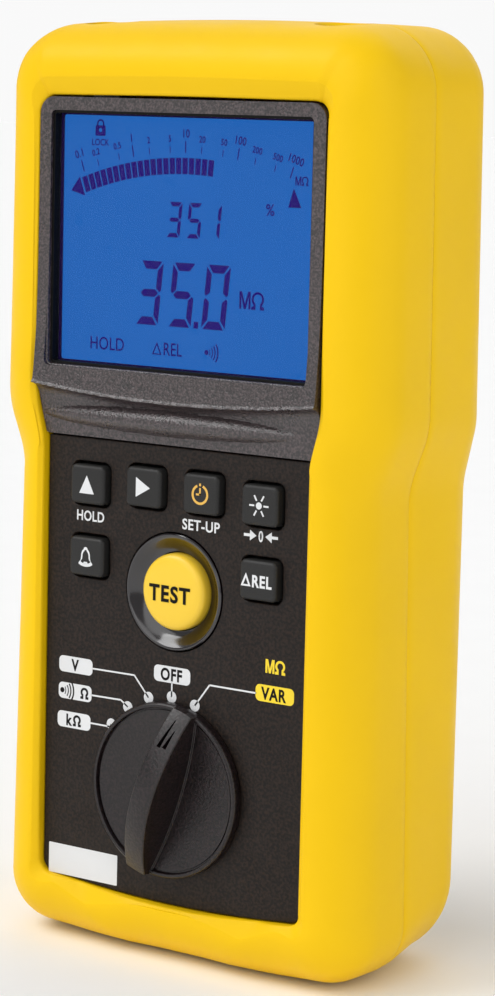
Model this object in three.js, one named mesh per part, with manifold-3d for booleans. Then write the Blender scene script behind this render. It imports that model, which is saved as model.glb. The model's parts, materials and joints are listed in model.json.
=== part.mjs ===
// Hand-held insulation resistance tester, standing on its lower end.
// Millimetres. +X to the right of the face, +Y from the face to the back, +Z up.
// The origin is under the middle of the case, at the lowest point.
import * as THREE from "three";
import { mergeVertices } from "three/addons/utils/BufferGeometryUtils.js";
import Module from "manifold-3d";

const wasm = await Module();
wasm.setup();

// ---- Driving dimensions ----------------------------------------------------------------------
const HEIGHT = 214.5;
const HEAD_HALF = 53.8; // half the width beside the display
const WAIST_HALF = 49.1; // half the width just under the display
const FOOT_HALF = 51.6; // half the width at the lower corners
const WAIST_LOW = 112; // the step from waist to head runs between these heights
const WAIST_HIGH = 125;
const FRONT_Y = -22; // rim of the case, in front of the panel
const BACK_Y = 30;
const SEAM_Y = 1.2; // where the two shells meet
const CASE_ROUND = 12; // edge radius of the case, front and back
const WALL = 3;
const GAP = 0.3; // clearance between touching pieces

const PANEL_Y = -19.5; // face of the keypad panel
const PANEL_HALF = 37;
const PANEL_TOP = 118.9;
const PANEL_FOOT = 14;
const BEZEL_HALF = 39.4;
const BEZEL_TOP = 196.2;
const BEZEL_FOOT = 119.2;
const BEZEL_Y = -21.3; // face of the display frame
const LIP_Y = -23.2; // crest of the lip under the display
const FLANGE = 1; // how far panel and frame reach behind the rim
const WINDOW = { half: 36.2, low: 135.5, high: 193.2 };
const LCD = { half: 37.4, low: 134.3, high: 194.4, front: -17.3, thick: 2.2 };
const BOARD = { inset: 4.5, low: 9, high: 183, front: -9, thick: 1.6 };
const SEAL = { inset: 1.2, wide: 0.7, deep: 1 }; // band in a groove between the two shells

const KEY = { wide: 10.5, tall: 9.6, proud: 1.8, pitch: 16.15 };
const KEY_ROW_HIGH = 109.2;
const KEY_ROW_DROP = 0.9; // the outer keys sit this much lower than the inner two
const KEY_ROW_LOW = 91.6;
const TEST = { z: 86, radius: 9.5, ring: 13.4, proud: 3, flange: 10.6 };
const KNOB = { z: 40.6, radius: 20.3, skirt: 4.3, proud: 10.5, step: 18 };
const SOCKET = {
  x: 32,
  y: -5.5,
  radius: 6.2,
  neck: 5.3,
  well: 4.4,
  top: 211.1,
  foot: 187.5,
  contact: 204.9, // top of the brass tube
};

const CELL = { radius: 7.1, long: 50.5, pitch: 14.6, count: 6, y: 19.8, low: 113.4 };
const BAY = { half: 28.4, low: 105.6, high: 194, floor: 11.4, wall: 1.6 };
const DOOR = { half: 36.3, low: 102.4, high: 197, thick: 2.4, screwX: 32.2, screwZ: 149.7 };
const STAND = {
  half: 26,
  low: 16.5,
  thick: 3.4,
  hingeZ: 89.5,
  hingeIn: 2.8, // depth of the hinge's axis behind the back face
  pin: 1.2,
  knuckle: 2.4,
};
const CASE_SCREWS = [
  [45.6, 184],
  [-45.6, 184],
  [43.2, 25],
  [-43.2, 25],
];
const BOARD_SCREWS = [
  [45.5, 150],
  [-45.5, 150],
  [42.4, 60],
  [-42.4, 60],
];

// ---- Materials ---------------------------------------------------------------------------------
const material = (color, roughness, metalness = 0) =>
  new THREE.MeshStandardMaterial({ color, roughness, metalness });
const YELLOW = material(0xf6c81f, 0.5);
const FRAME_GREY = material(0x3a3634, 0.65);
const PANEL_BLACK = material(0x262422, 0.7);
const RUBBER_BLACK = material(0x1f1f20, 0.75);
const GLOSS_BLACK = material(0x1c1a1c, 0.25);
const BUTTON_YELLOW = material(0xf2bf2c, 0.45);
const CLEAR = new THREE.MeshStandardMaterial({
  color: 0xf2f6fa,
  roughness: 0.05,
  transparent: true,
  opacity: 0.2,
});
const LCD_BLUE = material(0x2767c0, 0.2);
const GUIDE_WHITE = material(0xe8eef2, 0.3);
const BOARD_GREEN = material(0x1f5a3a, 0.5);
const SOCKET_RED = material(0xb01818, 0.4);
const STEEL = material(0xb8babd, 0.35, 0.9);
const BRASS = material(0xc9a45a, 0.3, 0.9);
const CELL_WRAP = material(0x33506e, 0.35, 0.3);
const FERRITE = material(0x3b3a3c, 0.6);
const RELAY_WHITE = material(0xe6e4dc, 0.4);

// ---- Solids: every shape becomes a closed solid that can be joined and cut ---------------------
function toSolid(geometry) {
  const bare = geometry.clone();
  bare.deleteAttribute("normal");
  bare.deleteAttribute("uv");
  const merged = mergeVertices(bare, 1e-4);
  return new wasm.Manifold(
    new wasm.Mesh({
      numProp: 3,
      vertProperties: new Float32Array(merged.attributes.position.array),
      triVerts: new Uint32Array(merged.index.array),
    }),
  );
}

function toGeometry(solid) {
  const mesh = solid.getMesh();
  const positions = new Float32Array(mesh.numVert * 3);
  for (let i = 0; i < mesh.numVert; i++) {
    const start = i * mesh.numProp;
    positions.set(mesh.vertProperties.subarray(start, start + 3), i * 3);
  }
  const geometry = new THREE.BufferGeometry();
  geometry.setAttribute("position", new THREE.BufferAttribute(positions, 3));
  geometry.setIndex(new THREE.BufferAttribute(new Uint32Array(mesh.triVerts), 1));
  geometry.computeVertexNormals();
  return geometry;
}

const joined = (...solids) => solids.reduce((whole, solid) => whole.add(solid));
const cut = (solid, ...tools) => tools.reduce((rest, tool) => rest.subtract(tool), solid);

// A box between two corners.
function block(x0, x1, y0, y1, z0, z1) {
  const box = new THREE.BoxGeometry(x1 - x0, y1 - y0, z1 - z0);
  return toSolid(box.translate((x0 + x1) / 2, (y0 + y1) / 2, (z0 + z1) / 2));
}

// Round bars along each axis. x, y and z place the bar's axis; the last two numbers are its ends.
function barY(x, z, radius, y0, y1, sides = 24) {
  const bar = new THREE.CylinderGeometry(radius, radius, y1 - y0, sides);
  return toSolid(bar.translate(x, (y0 + y1) / 2, z));
}

function barZ(x, y, radius, z0, z1, sides = 24) {
  const bar = new THREE.CylinderGeometry(radius, radius, z1 - z0, sides).rotateX(Math.PI / 2);
  return toSolid(bar.translate(x, y, (z0 + z1) / 2));
}

function barX(y, z, radius, x0, x1, sides = 24) {
  const bar = new THREE.CylinderGeometry(radius, radius, x1 - x0, sides).rotateZ(Math.PI / 2);
  return toSolid(bar.translate((x0 + x1) / 2, y, z));
}

// Points of a closed outline seen from the front: straight sides with an arc at each corner
// [x, z, radius], listed anticlockwise.
function roundedOutline(corners, arcSteps = 4) {
  const points = [];
  corners.forEach(([x, z, radius], i) => {
    const here = new THREE.Vector2(x, z);
    const [bx, bz] = corners[(i + corners.length - 1) % corners.length];
    const [ax, az] = corners[(i + 1) % corners.length];
    const before = new THREE.Vector2(bx, bz).sub(here).normalize();
    const after = new THREE.Vector2(ax, az).sub(here).normalize();
    const half = Math.acos(THREE.MathUtils.clamp(before.dot(after), -1, 1)) / 2;
    const middle = before.clone().add(after).normalize();
    const centre = middle.multiplyScalar(radius / Math.sin(half)).add(here);
    const start = before.multiplyScalar(radius / Math.tan(half)).add(here).sub(centre);
    const end = after.multiplyScalar(radius / Math.tan(half)).add(here).sub(centre);
    const turn = Math.atan2(start.cross(end), start.dot(end));
    for (let k = 0; k <= arcSteps; k++) {
      const spoke = start.clone().rotateAround(new THREE.Vector2(), (turn * k) / arcSteps);
      points.push(spoke.add(centre));
    }
  });
  return points;
}

const rectangle = (half, low, high, radius) => [
  [-half, low, radius],
  [half, low, radius],
  [half, high, radius],
  [-half, high, radius],
];

// An outline with the mirror image of its right-hand corners, which are listed from the bottom up.
const mirrored = (foot, right, crown) => [
  foot,
  ...right,
  crown,
  ...right.map(([x, z, radius]) => [-x, z, radius]).reverse(),
];

// A slab with a front-view outline between two depths. inset shrinks the outline, and edge rounds
// both rims by that radius.
function slab(points, front, back, { edge = 0, inset = 0, steps = 3 } = {}) {
  const shape = new THREE.Shape(points);
  const geometry = new THREE.ExtrudeGeometry(shape, {
    depth: back - front - 2 * edge,
    bevelEnabled: edge > 0 || inset > 0,
    bevelThickness: edge,
    bevelSize: edge,
    bevelOffset: -edge - inset,
    bevelSegments: edge > 0 ? steps : 1,
  });
  return toSolid(geometry.rotateX(Math.PI / 2).translate(0, back - edge, 0));
}

// A length of side-view profile [y, z] along X.
function profileAlongX(profile, half) {
  const shape = new THREE.Shape(profile.map(([y, z]) => new THREE.Vector2(z, y)));
  const geometry = new THREE.ExtrudeGeometry(shape, { depth: 2 * half, bevelEnabled: false });
  return toSolid(geometry.rotateY(-Math.PI / 2).translate(half, 0, 0));
}

// A solid of revolution about Y from a profile [radius, y], listed from front to back on its outside.
const spin = (profile, sides) =>
  toSolid(new THREE.LatheGeometry(profile.map(([r, y]) => new THREE.Vector2(r, y)), sides));

function part(name, solid, finish, position = [0, 0, 0]) {
  const mesh = new THREE.Mesh(toGeometry(solid), finish);
  mesh.name = name;
  mesh.position.set(...position);
  return mesh;
}

// ---- Outlines ----------------------------------------------------------------------------------
const caseOutline = roundedOutline(
  mirrored(
    [0, -1.4, 242],
    [
      [FOOT_HALF, 2.8, 14],
      [WAIST_HALF, WAIST_LOW, 22],
      [HEAD_HALF + 0.3, WAIST_HIGH, 22],
      [HEAD_HALF - 1, HEIGHT - 1.1, 18],
    ],
    [0, HEIGHT + 0.08, 900],
  ),
);

const panelOutline = (grow) =>
  roundedOutline(
    [
      [0, PANEL_FOOT - 0.9 - grow, 300],
      [PANEL_HALF + grow, PANEL_FOOT + 2 - grow, 3],
      [PANEL_HALF + grow, PANEL_TOP, 0.8],
      [-PANEL_HALF - grow, PANEL_TOP, 0.8],
      [-PANEL_HALF - grow, PANEL_FOOT + 2 - grow, 3],
    ],
    3,
  );

const bezelOutline = (grow) =>
  roundedOutline(
    [
      [-PANEL_HALF - 0.5 - grow, BEZEL_FOOT, 0.8],
      [PANEL_HALF + 0.5 + grow, BEZEL_FOOT, 0.8],
      [BEZEL_HALF + grow, BEZEL_FOOT + 9, 6],
      [BEZEL_HALF + grow, BEZEL_TOP + grow, 4],
      [-BEZEL_HALF - grow, BEZEL_TOP + grow, 4],
      [-BEZEL_HALF - grow, BEZEL_FOOT + 9, 6],
    ],
    3,
  );

const keyOutline = (grow) =>
  roundedOutline(
    rectangle(KEY.wide / 2 + grow, -KEY.tall / 2 - grow, KEY.tall / 2 + grow, 1.6 + grow),
    3,
  );

const keyCentres = [
  ["key_up", -1.5, KEY_ROW_HIGH - KEY_ROW_DROP],
  ["key_right", -0.5, KEY_ROW_HIGH],
  ["key_timer", 0.5, KEY_ROW_HIGH],
  ["key_backlight", 1.5, KEY_ROW_HIGH - KEY_ROW_DROP],
  ["key_alarm", -1.5, KEY_ROW_LOW],
  ["key_relative", 1.5, KEY_ROW_LOW],
].map(([name, column, z]) => ({ name, x: column * KEY.pitch, z }));

// ---- Case: two shells, the seal in the groove between them, and their screws --------------------
const INNER_Y = FRONT_Y + WALL; // inside of the face wall
const SCREW_SEAT = BACK_Y - 9; // where a case screw's head bears
const bothSides = [1, -1];

const aboveGround = block(-80, 80, -60, 60, 0, 230);
const outside = slab(caseOutline, FRONT_Y, BACK_Y, { edge: CASE_ROUND }).intersect(aboveGround);
const cavity = slab(caseOutline, INNER_Y, BACK_Y - WALL, {
  edge: CASE_ROUND - WALL,
  inset: WALL,
  steps: 4,
}).intersect(block(-80, 80, -60, 60, WALL, 230));
const hollowCase = outside.subtract(cavity);
const sealGroove = sealBand(GAP);

// The band between the shells, with clearance added all round.
function sealBand(clearance) {
  const front = SEAM_Y - SEAL.deep - clearance;
  const back = SEAM_Y + SEAL.deep + clearance;
  const outer = slab(caseOutline, front, back, { inset: SEAL.inset - clearance });
  const inner = slab(caseOutline, front - 1, back + 1, { inset: SEAL.inset + SEAL.wide + clearance });
  return outer.subtract(inner).intersect(block(-80, 80, front, back, SEAL.inset - clearance, 230));
}

function frontHousing() {
  const half = hollowCase.intersect(block(-80, 80, -60, SEAM_Y - GAP / 2, -10, 230));
  const bosses = CASE_SCREWS.map(([x, z]) => barY(x, z, 3.6, INNER_Y - 0.5, SEAM_Y - 1, 16));
  const boardPosts = BOARD_SCREWS.map(([x, z]) =>
    barY(x, z, 2.6, INNER_Y - 0.5, BOARD.front - GAP, 12),
  );
  return cut(
    joined(half, ...[...bosses, ...boardPosts].map((post) => post.intersect(outside))),
    sealGroove,
    slab(panelOutline(GAP), FRONT_Y - 1, INNER_Y + 1),
    slab(bezelOutline(GAP), FRONT_Y - 1, INNER_Y + 1),
    ...CASE_SCREWS.map(([x, z]) => barY(x, z, 1.7, -12, SEAM_Y + 1, 12)),
    ...BOARD_SCREWS.map(([x, z]) => barY(x, z, 1.6, -15, BOARD.front, 12)),
    ...bothSides.map((side) =>
      barZ(side * SOCKET.x, SOCKET.y, SOCKET.neck + GAP, 193.5, HEIGHT + 5),
    ),
  );
}

function rearHousing() {
  const half = hollowCase.intersect(block(-80, 80, SEAM_Y + GAP / 2, 60, -10, 230));
  const bayWalls = block(
    -BAY.half - BAY.wall, BAY.half + BAY.wall,
    BAY.floor - BAY.wall, BACK_Y - 1,
    BAY.low - BAY.wall, BAY.high + BAY.wall,
  );
  const doorSeat = block(
    -DOOR.half - 2, DOOR.half + 2, BACK_Y - 5.6, BACK_Y - 1, DOOR.low - 2, DOOR.high + 2,
  );
  const standSeat = block(
    -STAND.half - 4, STAND.half + 4, BACK_Y - 7.4, BACK_Y - 1, STAND.low - 4, STAND.hingeZ + 6,
  );
  const bosses = CASE_SCREWS.map(([x, z]) => barY(x, z, 4.6, SEAM_Y - 0.7, BACK_Y - 0.5, 16));
  const added = joined(bayWalls, doorSeat, standSeat, ...bosses).intersect(outside);
  const hingeY = BACK_Y - STAND.hingeIn;
  const standTop = STAND.hingeZ + STAND.knuckle + 0.8;
  return cut(
    joined(half, added),
    sealGroove,
    block(-BAY.half, BAY.half, BAY.floor, BACK_Y + 5, BAY.low, BAY.high),
    slab(
      roundedOutline(rectangle(DOOR.half + GAP, DOOR.low - GAP, DOOR.high + GAP, 5), 3),
      BACK_Y - DOOR.thick - GAP,
      BACK_Y + 5,
    ),
    ...bothSides.map((side) => barY(side * DOOR.screwX, DOOR.screwZ, 2.1, BACK_Y - 7, BACK_Y, 16)),
    slab(
      roundedOutline(rectangle(STAND.half + 0.5, STAND.low - 1, standTop, 3), 3),
      BACK_Y - STAND.thick - 0.8,
      BACK_Y + 5,
    ),
    barX(hingeY, STAND.hingeZ, STAND.knuckle + 0.5, -STAND.half - 0.5, STAND.half + 0.5, 20),
    block(-9, 9, BACK_Y - 4.4, BACK_Y + 5, STAND.low - 6, STAND.low + 2),
    barX(hingeY, STAND.hingeZ, STAND.pin + GAP, -STAND.half - 3.2, STAND.half + 3.2, 16),
    ...CASE_SCREWS.map(([x, z]) => barY(x, z, 3.3, SCREW_SEAT, BACK_Y + 5, 16)),
    ...CASE_SCREWS.map(([x, z]) => barY(x, z, 1.8, -2, SCREW_SEAT + 1, 12)),
  );
}

// A cross-head screw with its head towards +Y and the underside of its head at the origin.
const screw = (shank, head, long, headHigh) =>
  cut(
    joined(barY(0, 0, head, 0, headHigh, 16), barY(0, 0, shank, -long, 0.2, 12)),
    block(-0.4, 0.4, headHigh - 0.8, headHigh + 1, -1.5, 1.5),
    block(-1.5, 1.5, headHigh - 0.8, headHigh + 1, -0.4, 0.4),
  );

// ---- Face: display frame, window, panel, keys and test button -----------------------------------
const FLANGE_Y = INNER_Y + GAP; // front of the flanges that bear on the inside of the face wall

function displayBezel() {
  const frame = joined(
    slab(bezelOutline(0), BEZEL_Y, FLANGE_Y + 0.4),
    slab(bezelOutline(FLANGE), FLANGE_Y, FLANGE_Y + 2.1),
  );
  const lip = profileAlongX(
    [
      [-20, 136],
      [BEZEL_Y, 136],
      [BEZEL_Y - 1.2, 131.4],
      [LIP_Y, 129.4],
      [LIP_Y + 0.3, 128],
      [LIP_Y + 1.8, 123.6],
      [PANEL_Y - 0.8, BEZEL_FOOT],
      [-18, BEZEL_FOOT],
    ],
    BEZEL_HALF + 1,
  ).intersect(slab(bezelOutline(0), -40, -18));
  const scoop = new THREE.SphereGeometry(1, 24, 12).scale(33, 3.4, 2.6);
  const opening = roundedOutline(rectangle(WINDOW.half, WINDOW.low, WINDOW.high, 1), 2);
  const glassSeat = roundedOutline(
    rectangle(WINDOW.half + 1.6, WINDOW.low - 1.6, WINDOW.high + 1.6, 1),
    2,
  );
  return cut(
    joined(frame, lip),
    toSolid(scoop.translate(0, LIP_Y - 1, 124)),
    slab(opening, -40, 0),
    slab(glassSeat, BEZEL_Y + 1.1, 0),
  );
}

const displayWindow = () =>
  slab(
    roundedOutline(rectangle(WINDOW.half + 1.3, WINDOW.low - 1.3, WINDOW.high + 1.3, 0.8), 2),
    BEZEL_Y + 1.4,
    BEZEL_Y + 2.6,
  );

function frontPanel() {
  const plate = joined(
    slab(panelOutline(0), PANEL_Y, FLANGE_Y + 0.2),
    slab(panelOutline(FLANGE), FLANGE_Y, FLANGE_Y + 1.5),
  );
  return cut(
    plate,
    ...keyCentres.map(({ x, z }) => slab(keyOutline(GAP), -40, 0).translate([x, 0, z])),
    barY(0, TEST.z, TEST.ring - 0.6, -40, 0, 32),
    barY(0, KNOB.z, 4.3, -40, 0, 20),
  );
}

// Conical collar round the test button.
const testCollar = () =>
  spin(
    [
      [TEST.radius + 0.35, PANEL_Y + 1.3],
      [TEST.ring - 1.2, PANEL_Y - 0.5],
      [TEST.ring, PANEL_Y - 0.5],
      [TEST.ring, PANEL_Y - GAP],
      [TEST.ring - 0.9, PANEL_Y - GAP],
      [TEST.ring - 0.9, PANEL_Y + 2.7],
      [TEST.radius + 0.35, PANEL_Y + 2.7],
      [TEST.radius + 0.35, PANEL_Y + 1.3],
    ],
    32,
  );

// Cap, flange and stem of a key. The origin is on the panel's face at the middle of the cap.
const KEY_STEM_END = BOARD.front - 1.4 - PANEL_Y;
const keyCap = () =>
  joined(
    slab(keyOutline(0), -KEY.proud, 3.4, { edge: 0.7, steps: 2 }),
    slab(keyOutline(0.9), 2.6, 3.6),
    barY(0, 0, 2, 3.3, KEY_STEM_END, 12),
  );

const testButton = () =>
  spin(
    [
      [0, -TEST.proud],
      [TEST.radius * 0.6, -TEST.proud + 0.2],
      [TEST.radius - 0.8, -TEST.proud + 0.7],
      [TEST.radius, -TEST.proud + 1.3],
      [TEST.radius, 3],
      [TEST.flange, 3],
      [TEST.flange, 3.4],
      [2.6, 3.4],
      [2.6, BOARD.front - 1.9 - PANEL_Y],
      [0, BOARD.front - 1.9 - PANEL_Y],
    ],
    32,
  );

const keypadMat = () =>
  cut(
    slab(roundedOutline(rectangle(36.5, 80, 116, 3), 3), PANEL_Y + 5.1, PANEL_Y + 6.1),
    ...keyCentres.map(({ x, z }) => barY(x, z, 2.5, -20, 0, 12)),
    barY(0, TEST.z, 5, -20, 0, 20),
  );

// ---- Selector: knob, shaft and contact rotor. The origin is on the panel's face at the axis ------
function selectorKnob() {
  const { radius, skirt, proud } = KNOB;
  const disc = spin(
    [
      [0, -skirt + 1.9],
      [radius * 0.5, -skirt + 1.7],
      [radius - 1.9, -skirt + 0.9],
      [radius - 1.1, -skirt],
      [radius - 0.5, -skirt],
      [radius, -skirt + 0.7],
      [radius, -0.8],
      [radius - 0.6, -GAP],
      [0, -GAP],
    ],
    40,
  );
  const tip = radius - 0.9;
  const gripOutline = new THREE.Shape()
    .moveTo(-1.6, -tip)
    .lineTo(1.6, -tip)
    .quadraticCurveTo(8.8, 0, 1.6, tip)
    .lineTo(-1.6, tip)
    .quadraticCurveTo(-6.8, 0, -1.6, -tip);
  const grip = slab(gripOutline.getPoints(10), -proud - 2, -skirt + 2.6);
  const rise = proud - skirt + 0.4;
  const archRadius = (tip * tip + rise * rise) / (2 * rise);
  return joined(disc, grip.intersect(barX(archRadius - proud, 0, archRadius, -12, 12, 96)));
}

const selectorShaft = () => barY(0, 0, 3.4, 0, 2.2, 20);

function selectorRotor() {
  const back = BOARD.front - 0.6 - PANEL_Y;
  const disc = joined(barY(0, 0, 15, 2.5, 4.7, 32), barY(0, 0, 5, 4.5, back, 16));
  const feet = [0, 90, 180, 270].map((angle) =>
    block(-1.4, 1.4, 4.5, back, 9, 12).rotate([0, angle, 0]),
  );
  return joined(disc, ...feet);
}

// ---- Terminals: the origin is on the socket's axis, at the height of the case's foot -------------
const SOCKET_SHOULDER = 207.5; // top of the sleeve's wide part
const SOCKET_FLOOR = 191.5; // bottom of the well

const socketSleeve = () =>
  cut(
    joined(
      barZ(0, 0, SOCKET.radius, SOCKET.foot, SOCKET_SHOULDER, 24),
      barZ(0, 0, SOCKET.neck, SOCKET_SHOULDER - 0.2, SOCKET.top, 24),
    ),
    barZ(0, 0, SOCKET.well, SOCKET_FLOOR, SOCKET.top + 4, 24),
    barZ(0, 0, 1.3, SOCKET.foot - 1, SOCKET_FLOOR + 1, 12),
  );

const socketContact = () =>
  cut(
    joined(
      barZ(0, 0, 3, SOCKET_FLOOR + GAP, SOCKET.contact, 20),
      barZ(0, 0, 1, SOCKET.foot - 3, SOCKET_FLOOR + 1, 12),
    ),
    barZ(0, 0, 2.05, SOCKET_FLOOR + 2, SOCKET.contact + 1, 20),
  );

// ---- Power: cells, contact plates, door and its quarter-turn screws ------------------------------
// A cell along X with its positive end towards +X.
const cell = () =>
  joined(
    barX(0, 0, CELL.radius, -CELL.long / 2, CELL.long / 2 - 1.4, 20),
    barX(0, 0, 2.6, CELL.long / 2 - 1.5, CELL.long / 2, 12),
  );

const cellHeight = (index) => CELL.low + index * CELL.pitch;

// A sprung plate on one side wall of the bay that joins the ends of the listed cells.
function contactPlate(side, cells) {
  const wall = side * (BAY.half - GAP);
  const reach = side * (CELL.long / 2 + GAP);
  const face = wall - side * 0.5;
  const low = cellHeight(cells[0]) - 5.5;
  const high = cellHeight(cells.at(-1)) + 5.5;
  return joined(
    block(Math.min(wall, face), Math.max(wall, face), CELL.y - 6, CELL.y + 6, low, high),
    ...cells.map((index) =>
      barX(CELL.y, cellHeight(index), 2.4, Math.min(reach, wall), Math.max(reach, wall), 12),
    ),
  );
}

// Left plates join the cells in pairs; right plates join the pairs in series and end the chain.
const contactPlates = [
  ["battery_link_1", -1, [0, 1]],
  ["battery_link_2", -1, [2, 3]],
  ["battery_link_3", -1, [4, 5]],
  ["battery_terminal_positive", 1, [0]],
  ["battery_link_4", 1, [1, 2]],
  ["battery_link_5", 1, [3, 4]],
  ["battery_terminal_negative", 1, [5]],
];

function batteryDoor() {
  const plate = slab(
    roundedOutline(rectangle(DOOR.half, DOOR.low, DOOR.high, 5), 3),
    BACK_Y - DOOR.thick,
    BACK_Y,
    { edge: 0.4, steps: 1 },
  );
  const grips = [-8, -4, 0, 4, 8].map((x) =>
    block(x - 0.6, x + 0.6, BACK_Y - 0.7, BACK_Y + 1, DOOR.low + 5, DOOR.low + 13),
  );
  return cut(
    plate,
    ...bothSides.map((side) => barY(side * DOOR.screwX, DOOR.screwZ, 2.1, 20, 40, 16)),
    ...bothSides.map((side) => barY(side * DOOR.screwX, DOOR.screwZ, 3.3, BACK_Y - 1.8, 40, 16)),
    ...grips,
  );
}

// Captive screw with a slotted head. The origin is on the face of its head.
const doorScrew = () =>
  joined(
    cut(barY(0, 0, 3, -1.3, 0, 20), block(-0.5, 0.5, -0.7, 1, -2.6, 2.6)),
    barY(0, 0, 1.7, -6, -1.1, 12),
  );

// ---- Tilt stand: a flap that folds flat into the back. The origin is on the hinge's axis ---------
function tiltStand() {
  const back = STAND.hingeIn - 0.3;
  const foot = STAND.low - STAND.hingeZ;
  const leaf = slab(
    roundedOutline(rectangle(STAND.half, foot, 0.5, 0.4), 1),
    back - STAND.thick,
    back,
    { edge: 0.3, steps: 1 },
  );
  const knuckle = barX(0, 0, STAND.knuckle, -STAND.half, STAND.half, 20);
  const dish = roundedOutline(rectangle(STAND.half - 6, foot + 10, -9, 3), 3);
  return cut(
    joined(leaf, knuckle),
    slab(dish, back - 1.2, back + 1),
    barX(0, 0, STAND.pin + GAP, -60, 60, 16),
  );
}

const standPin = () => barX(0, 0, STAND.pin, -STAND.half - 3, STAND.half + 3, 16);

// ---- Electronics: each piece on the board has its origin on the board's back face ----------------
const BOARD_BACK = BOARD.front + BOARD.thick;

const mainBoard = () =>
  cut(
    slab(caseOutline, BOARD.front, BOARD_BACK, { inset: BOARD.inset }).intersect(
      block(-80, 80, -40, 40, BOARD.low, BOARD.high),
    ),
    ...CASE_SCREWS.map(([x, z]) => barY(x, z, 5.2, -20, 0, 16)),
    ...BOARD_SCREWS.map(([x, z]) => barY(x, z, 1.8, -20, 0, 12)),
  );

function transformer() {
  const core = cut(
    block(-9, 9, 0, 13, -9, 9),
    block(-6, 6, -1, 14, -10, -6.5),
    block(-6, 6, -1, 14, 6.5, 10),
  );
  return joined(core, barX(6.5, 0, 6.3, -6.2, 6.2, 20));
}

const FUSE_RISE = 4.4; // height of the fuse's axis over the board

const fuseHolder = () =>
  cut(
    joined(
      block(-17, 17, 0, 0.9, -3.6, 3.6),
      ...bothSides.map((side) => block(side * 12 - 2, side * 12 + 2, 0.8, 5.4, -4.2, 4.2)),
    ),
    barX(FUSE_RISE, 0, 3.4, -20, 20, 16),
  );

// ---- Assembly -----------------------------------------------------------------------------------
const tester = new THREE.Group();

const housing = new THREE.Group();
housing.add(
  part("front_housing", frontHousing(), YELLOW),
  part("rear_housing", rearHousing(), YELLOW),
  part("case_seal", sealBand(0), RUBBER_BLACK),
  part("display_bezel", displayBezel(), FRAME_GREY),
  part("display_window", displayWindow(), CLEAR),
  part("front_panel", frontPanel(), PANEL_BLACK),
  part("test_button_collar", testCollar(), GLOSS_BLACK, [0, 0, TEST.z]),
  part("keypad_mat", keypadMat(), RUBBER_BLACK),
  part("main_board", mainBoard(), BOARD_GREEN),
  part(
    "lcd_glass",
    block(-LCD.half, LCD.half, LCD.front, LCD.front + LCD.thick, LCD.low, LCD.high),
    LCD_BLUE,
  ),
  part("backlight_guide", block(-36, 36, -14.8, -12.4, LCD.low + 3.6, LCD.high - 1), GUIDE_WHITE),
  part("lcd_contact_strip", block(-34, 34, -14.8, -9.3, LCD.low + 0.2, LCD.low + 2.4), RUBBER_BLACK),
);
BOARD_SCREWS.forEach(([x, z], i) => {
  const place = [x, BOARD_BACK + GAP, z];
  housing.add(part(`board_screw_${i + 1}`, screw(1.3, 2.4, 5, 1.5), STEEL, place));
});
CASE_SCREWS.forEach(([x, z], i) => {
  const place = [x, SCREW_SEAT + GAP, z];
  housing.add(part(`case_screw_${i + 1}`, screw(1.4, 2.9, 27, 2.4), STEEL, place));
});

const sockets = [
  ["positive", 1, SOCKET_RED],
  ["negative", -1, GLOSS_BLACK],
];
for (const [name, side, finish] of sockets) {
  const place = [side * SOCKET.x, SOCKET.y, 0];
  housing.add(
    part(`socket_${name}`, socketSleeve(), finish, place),
    part(`socket_contact_${name}`, socketContact(), BRASS, place),
  );
}

const onBoard = (x, z) => [x, BOARD_BACK + GAP, z];
housing.add(
  part("high_voltage_transformer", transformer(), FERRITE, onBoard(-16, 66)),
  part("buzzer", barY(0, 0, 7, 0, 6.5, 24), GLOSS_BLACK, onBoard(20, 84)),
  part("range_relay_1", block(-5, 5, 0, 9, -8, 8), RELAY_WHITE, onBoard(12, 62)),
  part("range_relay_2", block(-5, 5, 0, 9, -8, 8), RELAY_WHITE, onBoard(27, 62)),
  part("reservoir_capacitor", barY(0, 0, 6, 0, 16, 24), GLOSS_BLACK, onBoard(-22, 34)),
  part("fuse_holder", fuseHolder(), PANEL_BLACK, onBoard(8, 34)),
  part("fuse", barX(FUSE_RISE, 0, 3.1, -16, 16, 16), RELAY_WHITE, onBoard(8, 34)),
);

for (let i = 0; i < CELL.count; i++) {
  const battery = part(`battery_${i + 1}`, cell(), CELL_WRAP, [0, CELL.y, cellHeight(i)]);
  battery.rotation.y = i % 2 ? Math.PI : 0;
  housing.add(battery);
}
for (const [name, side, cells] of contactPlates) {
  housing.add(part(name, contactPlate(side, cells), STEEL));
}
tester.add(housing);

const selector = new THREE.Group();
selector.position.set(0, PANEL_Y, KNOB.z);
selector.rotation.y = THREE.MathUtils.degToRad(KNOB.step);
selector.add(
  part("selector_knob", selectorKnob(), GLOSS_BLACK),
  part("selector_shaft", selectorShaft(), PANEL_BLACK),
  part("selector_rotor", selectorRotor(), PANEL_BLACK),
);
tester.add(selector);

for (const { name, x, z } of keyCentres) {
  tester.add(part(name, keyCap(), RUBBER_BLACK, [x, PANEL_Y, z]));
}
tester.add(part("test_button", testButton(), BUTTON_YELLOW, [0, PANEL_Y, TEST.z]));

const stand = new THREE.Group();
stand.position.set(0, BACK_Y - STAND.hingeIn, STAND.hingeZ);
stand.add(part("tilt_stand", tiltStand(), FRAME_GREY), part("stand_hinge_pin", standPin(), STEEL));
tester.add(stand);

tester.add(part("battery_door", batteryDoor(), YELLOW));
for (const [name, side] of [["left", -1], ["right", 1]]) {
  const place = [side * DOOR.screwX, BACK_Y - GAP, DOOR.screwZ];
  tester.add(part(`door_screw_${name}`, doorScrew(), STEEL, place));
}

export default tester;
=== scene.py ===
"""The looks of a hand-held insulation resistance tester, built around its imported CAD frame.

Shapes are worked out in millimetres in the frame's axes (+X right of the face, +Y towards the
back, +Z up) and turned into metres when a mesh is made.
"""

import json
import math

import bmesh
import bpy
from mathutils import Matrix, Vector


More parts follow.
